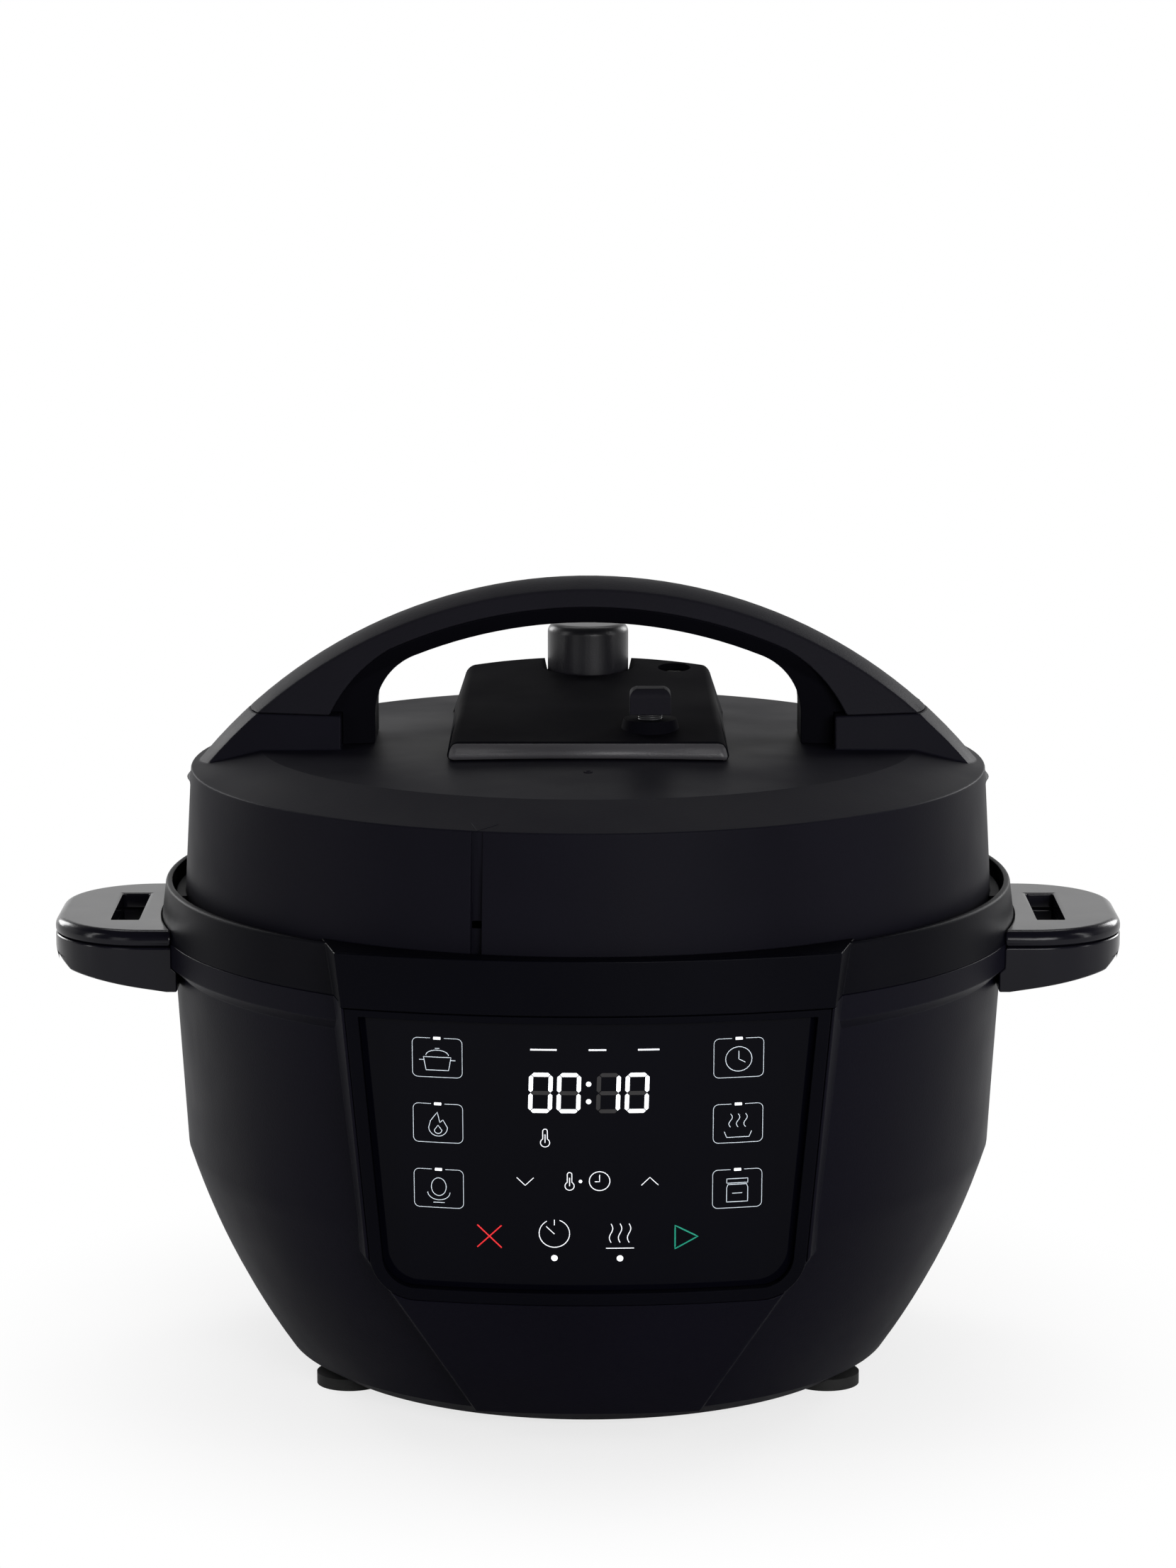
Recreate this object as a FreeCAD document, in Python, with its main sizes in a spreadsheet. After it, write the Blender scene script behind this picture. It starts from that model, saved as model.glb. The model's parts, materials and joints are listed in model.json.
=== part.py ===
import FreeCAD, Part
import math
import os
from types import SimpleNamespace

import Sketcher
from FreeCAD import Placement, Rotation, Vector

# Electric pressure cooker: a bowl-shaped base with a tilted touch panel, and a
# bayonet lid with an arched handle. Millimetres, +Z up, the pot's axis on Z,
# the panel facing -Y and the side handles along X.

SIZES = {
    # Base housing, from the floor up
    "foot_height": 4.0,
    "foot_radius": 11.5,
    "foot_inset": 5.7,
    "foot_bearing": 26.9,
    "cover_thickness": 2.5,
    "cover_inset": 7.5,
    "cover_flare_height": 4.3,
    "cover_lip_height": 3.2,
    "cover_lip_wall": 2.4,
    "seam_gap": 0.2,
    "bowl_lean": 33.8,
    "bowl_bulge_radius": 255.0,
    "bowl_height": 70.0,
    "wall_lean": 3.7,
    "wall_height": 63.0,
    "band_overhang": 4.5,
    "band_step": 4.0,
    "band_radius": 146.5,
    "band_height": 8.1,
    "housing_wall": 2.6,
    # Upper collar, the trough round the lid
    "collar_height": 16.4,
    "collar_lean": 1.9,
    "rim_chamfer": 0.7,
    "rim_wall": 2.2,
    "collar_floor": 2.6,
    "spigot_depth": 1.6,
    "spigot_gap": 0.3,
    "ledge_gap": 1.6,
    # Front console
    "console_radius": 250.0,
    "console_half_width": 75.7,
    "console_taper": 0.107,
    "console_depth": 62.0,
    "cheek_flare": 12.5,
    "panel_lean": 8.6,
    "panel_setback": 0.5,
    "chin_half_width": 22.0,
    "chin_proud": 1.2,
    "chin_drop": 11.0,
    "header_height": 18.0,
    "header_thickness": 3.0,
    "bezel_height": 99.0,
    "bezel_half_width": 77.6,
    "bezel_taper": 0.079,
    "bezel_corner": 15.0,
    "bezel_depth": 7.5,
    "bezel_border": 4.4,
    "bezel_top_border": 2.6,
    "bezel_gap": 0.15,
    "glass_recess": 3.6,
    "glass_thickness": 3.0,
    "board_width": 118.0,
    "board_height": 62.0,
    "board_thickness": 1.6,
    "board_depth": 13.2,
    "board_drop": 9.0,
    "display_width": 42.0,
    "display_height": 18.0,
    "display_drop": 7.0,
    "display_gap": 1.5,
    "pillar_width": 5.0,
    "pillar_length": 1.8,
    "pillar_x": 52.0,
    "pillar_drop": 3.0,
    # Side handles
    "handle_reach": 35.5,
    "handle_depth": 86.0,
    "handle_corner": 32.0,
    "handle_top_rise": 4.4,
    "handle_part_drop": 1.2,
    "handle_root_drop": 16.6,
    "handle_tip_drop": 6.5,
    "handle_edge_round": 3.4,
    "slot_width": 9.8,
    "slot_length": 45.0,
    "slot_inset": 24.6,
    "handle_screw_radius": 1.6,
    "handle_screw_head": 3.2,
    "handle_screw_head_height": 2.4,
    "handle_screw_inset": 31.5,
    "handle_screw_y": 31.0,
    "handle_screw_sink": 5.0,
    # Pot, shield and heater
    "pot_inset": 26.7,
    "pot_wall": 1.2,
    "pot_floor_height": 50.0,
    "pot_floor_round": 14.0,
    "pot_rim_width": 7.0,
    "pot_rim_thickness": 1.4,
    "shield_gap": 2.5,
    "shield_wall": 1.0,
    "shield_flange": 20.0,
    "shield_round": 20.0,
    "shield_hole_inset": 45.0,
    "plate_inset": 26.0,
    "plate_thickness": 9.5,
    "plate_bore": 18.0,
    "element_inset": 25.0,
    "element_tube_radius": 3.5,
    "element_gap": 0.2,
    "post_height": 9.5,
    "post_radius": 4.0,
    "post_inset": 11.0,
    "neck_wall": 2.0,
    "neck_height": 10.0,
    "lug_thickness": 3.0,
    "lug_reach": 5.5,
    "lug_angle": 24.0,
    "sensor_radius": 17.5,
    "sensor_height": 9.0,
    "sensor_gap": 0.3,
    "sensor_stem_radius": 4.0,
    "sensor_stem_drop": 1.0,
    "bracket_thickness": 1.5,
    "bracket_width": 24.0,
    "spring_wall": 1.2,
    "fit_gap": 0.05,
    "running_gap": 0.4,
    # Electrics on the bottom cover
    "mainboard_length": 96.0,
    "mainboard_width": 58.0,
    "mainboard_y": -36.0,
    "standoff_height": 4.0,
    "standoff_radius": 3.0,
    "relay_length": 22.0,
    "relay_width": 16.0,
    "relay_height": 7.0,
    "capacitor_radius": 3.2,
    "capacitor_length": 18.0,
    "fuse_radius": 2.2,
    "fuse_length": 22.0,
    "switch_length": 18.0,
    "switch_width": 9.0,
    "switch_height": 6.0,
    "inlet_width": 34.0,
    "inlet_sill": 4.1,
    "inlet_clearance": 0.8,
    "inlet_rim": 2.3,
    "inlet_depth": 26.0,
    "inlet_reach": 9.5,
    "inlet_socket_width": 24.0,
    "inlet_socket_depth": 17.0,
    "inlet_gap": 0.3,
    "pin_width": 2.0,
    "pin_length": 14.0,
    "pin_pitch": 7.0,
    "screw_radius": 1.7,
    "screw_head_radius": 3.4,
    "screw_head_height": 2.0,
    "screw_length": 5.5,
    "screw_circle": 60.0,
    # Lid cover
    "skirt_gap": 4.7,
    "skirt_depth": 9.0,
    "skirt_lean": 2.3,
    "lid_wall_height": 38.6,
    "bevel_width": 23.2,
    "bevel_rise": 6.8,
    "dome_rise": 2.9,
    "lid_wall": 2.5,
    "marker_width": 3.6,
    "marker_depth": 0.8,
    "marker_angle": 15.0,
    "fin_length": 40.0,
    "fin_reach": 3.6,
    "fin_drop": 2.4,
    # Lid pan and seal
    "pan_gap": 1.0,
    "pan_wall": 1.2,
    "pan_lug_thickness": 2.8,
    "pan_lug_gap": 0.6,
    "pan_lug_clear": 1.6,
    "seal_height": 9.8,
    "seal_gap": 0.2,
    "seal_width": 11.0,
    "rack_tube_radius": 1.5,
    "rack_gap": 0.4,
    "lid_post_radius": 5.0,
    "lid_post_inset": 36.0,
    "lid_post_gap": 0.4,
    # Arched handle
    "arch_radius": 172.0,
    "arch_rise": 56.6,
    "arch_crown": 2.4,
    "arch_half_width": 15.0,
    "arch_draft": 20.0,
    "arch_seam_depth": 8.2,
    "arch_underside": 13.7,
    "arch_foot_rise": 12.2,
    "arch_foot_x": 87.2,
    "arch_turn_x": 67.0,
    "arch_turn_radius": 50.0,
    "grip_leg_x": 72.0,
    "grip_leg_width": 11.2,
    "grip_half_width": 14.2,
    "grip_turn_radius": 21.0,
    "grip_turn_x": 58.0,
    "grip_turn_drop": 20.0,
    "bracket_gap": 0.15,
    "handle_bolt_radius": 2.5,
    "handle_bolt_bite": 6.0,
    "handle_bolt_sink": 0.6,
    # Valve deck
    "deck_front": 53.6,
    "deck_back": 70.0,
    "deck_half_width": 49.0,
    "deck_corner_y": 54.0,
    "deck_draft": 18.0,
    "deck_front_height": 7.5,
    "deck_slope": 6.05,
    "deck_wall": 2.2,
    "valve_y": 53.7,
    "valve_radius": 14.15,
    "valve_height": 17.6,
    "valve_round": 3.2,
    "valve_recess_gap": 2.8,
    "valve_recess_depth": 1.6,
    "valve_seat_gap": 0.4,
    "pipe_radius": 4.6,
    "pipe_bore": 2.2,
    "pipe_top_rise": 8.0,
    "pipe_drop": 8.0,
    "nut_radius": 9.0,
    "nut_height": 5.0,
    "shield_cap_radius": 13.0,
    "shield_cap_height": 9.0,
    "shield_cap_wall": 1.0,
    "float_x": 30.2,
    "float_y": 48.0,
    "float_radius": 3.4,
    "float_hole_radius": 5.8,
    "float_sink": 1.6,
    "float_flange_radius": 6.0,
    "float_flange_height": 2.0,
    "float_cap_radius": 6.5,
    "float_cap_height": 3.0,
    "float_lift": 2.0,
    "button_x": 20.8,
    "button_y": -30.3,
    "button_width": 13.8,
    "button_length": 11.0,
    "button_height": 8.6,
    "button_round": 3.0,
    "button_travel": 1.5,
    "button_stem_radius": 2.5,
    "button_collar_radius": 10.2,
    "button_collar_top": 8.9,
    "button_collar_height": 3.0,
    "lever_width": 7.0,
    "lever_thickness": 2.0,
    "lever_level": 2.2,
    "lever_post_radius": 2.0,
    "lever_post_inset": 10.6,
    "lever_pin_radius": 1.5,
    "ear_width": 3.0,
}

doc = FreeCAD.newDocument("pressure_cooker")
sheet = doc.addObject("Spreadsheet::Sheet", "Sizes")


class Size:
    """A size with its present value and the sheet formula that gives it."""

    def __init__(self, value, text):
        self.value = value
        self.text = text

    def __add__(self, other):
        other = as_size(other)
        return Size(self.value + other.value, f"({self.text} + {other.text})")

    def __sub__(self, other):
        other = as_size(other)
        return Size(self.value - other.value, f"({self.text} - {other.text})")

    def __mul__(self, other):
        other = as_size(other)
        return Size(self.value * other.value, f"({self.text} * {other.text})")

    def __truediv__(self, other):
        other = as_size(other)
        return Size(self.value / other.value, f"({self.text} / {other.text})")

    def __radd__(self, other):
        return as_size(other) + self

    def __rsub__(self, other):
        return as_size(other) - self

    def __rmul__(self, other):
        return as_size(other) * self

    def __neg__(self):
        return Size(-self.value, f"(-{self.text})")


def as_size(number):
    if isinstance(number, Size):
        return number
    return Size(float(number), repr(float(number)))


def square_root(size):
    return Size(math.sqrt(size.value), f"sqrt({size.text})")


def tangent(size):
    return Size(math.tan(math.radians(size.value)), f"tan({size.text})")


def cosine(size):
    return Size(math.cos(math.radians(size.value)), f"cos({size.text})")


def arctangent(size):
    return Size(math.degrees(math.atan(size.value)), f"atan({size.text}) / 1deg")


def sine(size):
    return Size(math.sin(math.radians(size.value)), f"sin({size.text})")


def fill_sheet():
    named = SimpleNamespace()
    for row, (alias, value) in enumerate(SIZES.items(), start=1):
        sheet.set(f"A{row}", alias)
        sheet.set(f"B{row}", str(value))
        sheet.setAlias(f"B{row}", alias)
        setattr(named, alias, Size(value, f"Sizes.{alias}"))
    doc.recompute()
    return named


s = fill_sheet()
nodes = []


def node(item):
    """Keep an object as one of the cooker's pieces."""
    nodes.append(item)
    return item


def bind(item, prop, size):
    item.setExpression(prop, as_size(size).text)


def place(item, x=0, y=0, z=0, axis=None, angle=0):
    """Put an object at (x, y, z), turned by an angle about an axis."""
    if axis is not None:
        item.Placement = Placement(Vector(0, 0, 0), Rotation(axis, as_size(angle).value))
        bind(item, "Placement.Rotation.Angle", angle)
    for letter, size in zip("xyz", (x, y, z)):
        bind(item, f"Placement.Base.{letter}", size)
    return item


def add(kind, label):
    item = doc.addObject(kind, label)
    item.Label = label
    return item


def box(label, length, width, height, x=0, y=0, z=0, axis=None, angle=0):
    item = add("Part::Box", label)
    bind(item, "Length", length)
    bind(item, "Width", width)
    bind(item, "Height", height)
    return place(item, x, y, z, axis, angle)


def cylinder(label, radius, height, x=0, y=0, z=0, axis=None, angle=0):
    item = add("Part::Cylinder", label)
    bind(item, "Radius", radius)
    bind(item, "Height", height)
    return place(item, x, y, z, axis, angle)


def fuse(label, *pieces):
    item = add("Part::MultiFuse", label)
    item.Shapes = list(pieces)
    item.Refine = True
    return item


def common(label, *pieces):
    item = add("Part::MultiCommon", label)
    item.Shapes = list(pieces)
    item.Refine = True
    return item


def cut(label, base, *tools):
    item = add("Part::Cut", label)
    item.Base = base
    item.Tool = tools[0] if len(tools) == 1 else fuse(label + "_tools", *tools)
    item.Refine = True
    return item


def ring(label, outer, inner, height, x=0, y=0, z=0):
    """A tube standing on its end."""
    shell = cylinder(label + "_outside", outer, height, x, y, z)
    bore = cylinder(label + "_bore", inner, height, x, y, z)
    return cut(label, shell, bore)


def arc_between(start, end, radius, side):
    """An arc from start to end that bulges left (side 1) or right (side -1)."""
    chord = end - start
    left = Vector(-chord.y, chord.x, 0).normalize()
    reach = math.sqrt(radius * radius - chord.Length * chord.Length / 4)
    centre = start + chord * 0.5 - left * (reach * side)
    first, last = (end, start) if side > 0 else (start, end)
    angle_first = math.atan2(first.y - centre.y, first.x - centre.x)
    angle_last = math.atan2(last.y - centre.y, last.x - centre.x)
    circle = Part.Circle(centre, Vector(0, 0, 1), radius)
    return Part.ArcOfCircle(circle, angle_first, angle_last)


def hold(sketch, kind, geometry, point, size):
    """Fix one coordinate of a sketch point to a size."""
    size = as_size(size)
    if size.text == "0.0":
        axis = -2 if kind == "DistanceX" else -1
        sketch.addConstraint(Sketcher.Constraint("PointOnObject", geometry, point, axis))
        return
    rule = Sketcher.Constraint(kind, -1, 1, geometry, point, size.value)
    bind(sketch, f"Constraints[{sketch.addConstraint(rule)}]", size)


def draw(sketch, corners):
    """Draw a closed outline. A corner is (x, y), or (x, y, radius, side) where
    the edge that leaves it is an arc bulging left (1) or right (-1)."""
    places = []
    for corner in corners:
        places.append(Vector(as_size(corner[0]).value, as_size(corner[1]).value, 0))
    starts, ends = [], []
    for index, corner in enumerate(corners):
        here, there = places[index], places[(index + 1) % len(corners)]
        if len(corner) == 2:
            sketch.addGeometry(Part.LineSegment(here, there), False)
        else:
            radius, side = as_size(corner[2]), corner[3]
            sketch.addGeometry(arc_between(here, there, radius.value, side), False)
        bulges_left = len(corner) == 4 and corner[3] > 0
        starts.append(2 if bulges_left else 1)
        ends.append(1 if bulges_left else 2)
    for index, corner in enumerate(corners):
        after = (index + 1) % len(corners)
        sketch.addConstraint(
            Sketcher.Constraint("Coincident", index, ends[index], after, starts[after])
        )
    for index, corner in enumerate(corners):
        hold(sketch, "DistanceX", index, starts[index], corner[0])
        hold(sketch, "DistanceY", index, starts[index], corner[1])
        if len(corner) == 4:
            radius = as_size(corner[2])
            rule = Sketcher.Constraint("Radius", index, radius.value)
            bind(sketch, f"Constraints[{sketch.addConstraint(rule)}]", radius)


def sketch_on(body, role, corners, height=0):
    """A sketch on one of the body's own planes, raised along its normal."""
    planes = {}
    for feature in body.Origin.OriginFeatures:
        planes[feature.Role] = feature
    sketch = body.newObject("Sketcher::SketchObject", body.Name + "_sketch")
    sketch.AttachmentSupport = (planes[role], [""])
    sketch.MapMode = "FlatFace"
    bind(sketch, "AttachmentOffset.Base.z", height)
    draw(sketch, corners)
    return sketch


def revolve(label, corners, x=0, y=0, z=0):
    """Turn an outline of (radius, height) corners about a vertical axis."""
    body = add("PartDesign::Body", label)
    sketch = sketch_on(body, "XZ_Plane", corners)
    turn = body.newObject("PartDesign::Revolution", label + "_turn")
    turn.Profile = sketch
    turn.ReferenceAxis = (sketch, ["V_Axis"])
    turn.Angle = 360
    return place(body, x, y, z)


def extrude(label, role, corners, start, length, taper=None):
    """Extrude an outline along its plane's normal: up for XY, to -Y for XZ,
    to +X for YZ. A taper is an angle by which the far end spreads."""
    body = add("PartDesign::Body", label)
    sketch = sketch_on(body, role, corners, start)
    pad = body.newObject("PartDesign::Pad", label + "_pad")
    pad.Profile = sketch
    bind(pad, "Length", length)
    if taper is not None:
        bind(pad, "TaperAngle", taper)
    return body


def round_edges(body, label, radius, chosen):
    """Round the edges of a body that the test picks."""
    doc.recompute()
    base = body.Tip
    names = []
    for number, edge in enumerate(base.Shape.Edges, start=1):
        if chosen(edge):
            names.append(f"Edge{number}")
    rounding = body.newObject("PartDesign::Fillet", label)
    rounding.Base = (base, names)
    bind(rounding, "Radius", radius)
    body.Tip = rounding
    return body


# Levels, from the floor to the lid
cover_top = s.foot_height + s.cover_thickness
housing_foot = s.foot_height + s.cover_flare_height + s.seam_gap
kink_level = housing_foot + s.bowl_height
wall_top = kink_level + s.wall_height
band_foot = wall_top + s.band_step
seam_level = band_foot + s.band_height
rim_level = seam_level + s.collar_height
floor_level = seam_level - s.spigot_depth + s.collar_floor
shield_top = seam_level - s.spigot_depth
neck_top = shield_top + s.neck_height
pot_rim_top = neck_top + s.pot_rim_thickness
pan_level = pot_rim_top + s.seal_gap + s.seal_height
pan_top = pan_level + s.pan_wall
shoulder_level = rim_level + s.lid_wall_height
disc_level = shoulder_level + s.bevel_rise
dome_level = disc_level + s.dome_rise
plate_foot = s.pot_floor_height - s.plate_thickness
shield_floor = plate_foot - s.post_height - s.shield_wall
inlet_foot = housing_foot + s.inlet_sill
inlet_height = shield_floor - s.inlet_clearance - inlet_foot
inlet_level = inlet_foot + inlet_height / 2
socket_height = inlet_height - s.inlet_rim * 2
pin_height = socket_height / 2

# Radii, from the outside in
wall_top_radius = s.band_radius - s.band_overhang
kink_radius = wall_top_radius - s.wall_lean
housing_foot_radius = kink_radius - s.bowl_lean
cover_radius = housing_foot_radius - s.cover_inset
inlet_face = housing_foot_radius + s.inlet_reach
rim_radius = s.band_radius - s.collar_lean
trough_radius = rim_radius - s.rim_wall
skirt_radius = trough_radius - s.skirt_gap
shoulder_radius = skirt_radius - s.skirt_lean
disc_radius = shoulder_radius - s.bevel_width
lid_post_circle = disc_radius - s.lid_post_inset
pot_radius = skirt_radius - s.pot_inset
plate_radius = pot_radius - s.plate_inset
element_ring_radius = plate_radius - s.element_inset
post_circle = plate_radius - s.post_inset
shield_hole_radius = plate_radius - s.shield_hole_inset
shield_inside = pot_radius + s.shield_gap
shield_outside = shield_inside + s.shield_wall
neck_outside = shield_inside + s.neck_wall
lug_radius = neck_outside + s.lug_reach
pan_inside = lug_radius + s.pan_gap
pan_outside = pan_inside + s.pan_wall
pan_lug_inside = neck_outside + s.pan_lug_clear
ledge_radius = skirt_radius + s.ledge_gap


def sector(label, inner, outer, half_angle, z, height, turn):
    """A slab between two radii, reaching half_angle to each side of a bearing."""
    corners = [
        (inner * cosine(half_angle), -(inner * sine(half_angle))),
        (outer * cosine(half_angle), -(outer * sine(half_angle)), outer, -1),
        (outer * cosine(half_angle), outer * sine(half_angle)),
        (inner * cosine(half_angle), inner * sine(half_angle), inner, 1),
    ]
    body = extrude(label, "XY_Plane", corners, 0, height)
    return place(body, 0, 0, z, Vector(0, 0, 1), turn)


# Shapes that several pieces share
housing_form = revolve("housing_form", [
    (0, housing_foot),
    (housing_foot_radius, housing_foot, s.bowl_bulge_radius, -1),
    (kink_radius, kink_level),
    (wall_top_radius, wall_top),
    (s.band_radius, band_foot),
    (s.band_radius, seam_level),
    (0, seam_level),
])
housing_space = revolve("housing_space", [
    (0, s.foot_height),
    (housing_foot_radius - s.housing_wall, s.foot_height),
    (housing_foot_radius - s.housing_wall, housing_foot, s.bowl_bulge_radius, -1),
    (kink_radius - s.housing_wall, kink_level),
    (wall_top_radius - s.housing_wall, wall_top),
    (s.band_radius - s.housing_wall, band_foot),
    (s.band_radius - s.housing_wall, rim_level),
    (0, rim_level),
])

# The console is a drum about its own upright axis, seen through a front
# outline that spreads towards the back
console_axis = s.console_radius - s.band_radius
header_level = rim_level - s.header_height
panel_foot = header_level - s.bezel_height
face_top = s.console_radius - s.panel_setback
face_foot = face_top - s.bezel_height * tangent(s.panel_lean)
chin_foot = console_axis + housing_foot_radius + s.chin_proud


def console_drum(label, inset):
    """The console's front face as a turned solid, set back by an inset."""
    return revolve(label, [
        (0, housing_foot),
        (chin_foot - inset, housing_foot, s.bowl_bulge_radius, -1),
        (face_foot - inset, panel_foot),
        (face_top - inset, header_level),
        (s.console_radius - s.header_thickness - inset, header_level),
        (s.console_radius - s.header_thickness - inset, rim_level),
        (0, rim_level),
    ], y=console_axis)


def console_half(level):
    return s.console_half_width - s.console_taper * (header_level - level)


cheek_spread = s.console_depth * tangent(s.cheek_flare)
chin_level = panel_foot + s.chin_drop
console_top = rim_level + s.collar_height
console_form = extrude("console_form", "XZ_Plane", [
    (-(s.chin_half_width + cheek_spread), 0),
    (s.chin_half_width + cheek_spread, 0),
    (console_half(chin_level) + cheek_spread, chin_level),
    (console_half(console_top) + cheek_spread, console_top),
    (-(console_half(console_top) + cheek_spread), console_top),
    (-(console_half(chin_level) + cheek_spread), chin_level),
], s.band_radius - s.console_depth, s.console_depth, -s.cheek_flare)
face_drum = console_drum("face_drum", 0)
console_boss = common("console_boss", console_form, face_drum)
console_shave = cut("console_shave", console_form, face_drum)
boss_span = s.console_radius * 2


def slab(label, low, high):
    """A wide slab between two levels."""
    return box(label, boss_span, boss_span, high - low, -boss_span / 2, -boss_span / 2, low)


def panel_outline(border, top_drop):
    """The panel's front outline, drawn in by a border."""
    top = header_level - top_drop
    foot = panel_foot + border
    corner = s.bezel_corner - border
    top_half = s.bezel_half_width - s.bezel_taper * top_drop - border
    low_half = s.bezel_half_width - s.bezel_taper * (s.bezel_height - s.bezel_corner) - border
    return [
        (-top_half, top),
        (-low_half, foot + corner, corner, -1),
        (-low_half + corner, foot),
        (low_half - corner, foot, corner, -1),
        (low_half, foot + corner),
        (top_half, top),
    ]


def panel_prism(label, border, top_drop):
    start = s.band_radius - s.console_depth / 2
    return extrude(label, "XZ_Plane", panel_outline(border, top_drop), start, s.console_depth)


# Outer housing
inlet_y = inlet_face - s.inlet_depth
inlet_hole = box(
    "inlet_hole", s.inlet_width + s.inlet_gap * 2, s.inlet_depth * 2, inlet_height + s.inlet_gap * 2,
    -(s.inlet_width / 2) - s.inlet_gap, inlet_y, inlet_foot - s.inlet_gap,
)
housing_boss = common("housing_boss", console_boss, slab("housing_slab", as_size(0), seam_level))
node(cut(
    "outer_housing", fuse("housing_solid", housing_form, housing_boss),
    housing_space, console_shave, panel_prism("panel_opening", as_size(0), as_size(0)), inlet_hole,
))

# Upper collar and header strip
collar_bore = neck_outside + s.running_gap
collar_ring = revolve("collar_ring", [
    (collar_bore, shield_top),
    (s.band_radius - s.housing_wall - s.spigot_gap, shield_top),
    (s.band_radius - s.housing_wall - s.spigot_gap, seam_level),
    (s.band_radius, seam_level),
    (rim_radius, rim_level - s.rim_chamfer),
    (rim_radius - s.rim_chamfer, rim_level),
    (trough_radius, rim_level),
    (trough_radius, floor_level),
    (collar_bore, floor_level),
])
collar_boss = common("collar_boss", console_boss, slab("collar_slab", seam_level, rim_level))
node(cut(
    "upper_collar", fuse("collar_solid", collar_ring, collar_boss),
    cylinder("collar_bore", collar_bore, rim_level),
    cylinder("lid_space", ledge_radius, rim_level, z=floor_level),
    console_shave,
))
header_block = common(
    "header_block", console_form,
    cylinder("header_front", s.console_radius, s.header_height - s.seam_gap,
             y=console_axis, z=header_level + s.seam_gap),
)
header_back = cylinder(
    "header_back", s.console_radius - s.header_thickness + s.bezel_gap, rim_level, y=console_axis)
node(cut("console_header", header_block, header_back))

# Panel bezel, glass and the boards behind them
bezel_block = common("bezel_block", panel_prism("bezel_outside", s.bezel_gap, s.bezel_gap), face_drum)
node(cut(
    "panel_bezel", bezel_block, console_drum("bezel_back", s.bezel_depth),
    panel_prism("bezel_window", s.bezel_border, s.bezel_top_border),
))
glass_block = common(
    "glass_block",
    panel_prism("glass_outside", s.bezel_border + s.bezel_gap, s.bezel_top_border + s.bezel_gap),
    console_drum("glass_front", s.glass_recess),
)
node(cut("touch_glass", glass_block, console_drum("glass_back", s.glass_recess + s.glass_thickness)))

X_AXIS = Vector(1, 0, 0)
Y_AXIS = Vector(0, 1, 0)
Z_AXIS = Vector(0, 0, 1)
HALF_TURN = as_size(180)
board_level = header_level - s.board_drop
board_y = s.glass_recess + s.panel_setback - s.band_radius + s.board_depth


def on_board(label, width, thickness, height, x, depth, drop):
    """A box that leans with the panel: depth behind the board's front, drop below its top."""
    fall = drop + height
    y = board_y + depth * cosine(s.panel_lean) + fall * sine(s.panel_lean)
    z = board_level + depth * sine(s.panel_lean) - fall * cosine(s.panel_lean)
    return box(label, width, thickness, height, x - width / 2, y, z, X_AXIS, s.panel_lean)


node(on_board("control_board", s.board_width, s.board_thickness, s.board_height,
              as_size(0), as_size(0), as_size(0)))
display_depth = s.board_depth - s.board_drop * tangent(s.panel_lean) - s.glass_thickness - s.display_gap
node(on_board("display_module", s.display_width, display_depth, s.display_height,
              as_size(0), -display_depth, s.display_drop))
pillars = []
for side in (-1, 1):
    for drop in (s.pillar_drop, s.board_height - s.pillar_drop - s.pillar_width):
        pillars.append(on_board(
            f"pillar_{len(pillars) + 1}", s.pillar_width, s.pillar_length, s.pillar_width,
            s.pillar_x * side, -s.pillar_length, drop))
node(fuse("board_pillars", *pillars))

# Side handles: an upper cover over a lower grip
body_form = fuse("body_form", housing_form, revolve("collar_form", [
    (0, seam_level),
    (s.band_radius, seam_level),
    (rim_radius, rim_level),
    (0, rim_level),
]))
handle_half = s.handle_depth / 2
handle_tip = s.band_radius + s.handle_reach
handle_root = kink_radius
handle_top = seam_level + s.handle_top_rise
handle_part = seam_level - s.handle_part_drop
handle_low = seam_level - s.handle_root_drop
handle_plan = [
    (handle_root, -handle_half),
    (handle_tip - s.handle_corner, -handle_half, s.handle_corner, -1),
    (handle_tip, s.handle_corner - handle_half),
    (handle_tip, handle_half - s.handle_corner, s.handle_corner, -1),
    (handle_tip - s.handle_corner, handle_half),
    (handle_root, handle_half),
]
slot = box(
    "handle_slot", s.slot_width, s.slot_length, rim_level,
    handle_tip - s.slot_inset - s.slot_width / 2, -(s.slot_length / 2), 0)
screw_x = handle_tip - s.handle_screw_inset


def handle_screw(label, gap):
    """A pair of screws driven up through the grip into the cover."""
    pieces = []
    for side in (-1, 1):
        y = s.handle_screw_y * side
        pieces.append(cylinder(
            f"{label}_shank_{side + 2}", s.handle_screw_radius + gap,
            handle_top - handle_low - s.handle_edge_round - s.handle_screw_sink,
            screw_x, y, handle_low + s.handle_screw_sink))
        pieces.append(cylinder(
            f"{label}_head_{side + 2}", s.handle_screw_head + gap, s.handle_screw_head_height,
            screw_x, y, handle_low + s.handle_screw_sink))
        if gap.value > 0:
            pieces.append(cylinder(
                f"{label}_well_{side + 2}", s.handle_screw_head + gap, s.handle_screw_sink * 2,
                screw_x, y, handle_low - s.handle_screw_sink))
    return fuse(label, *pieces)


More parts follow.
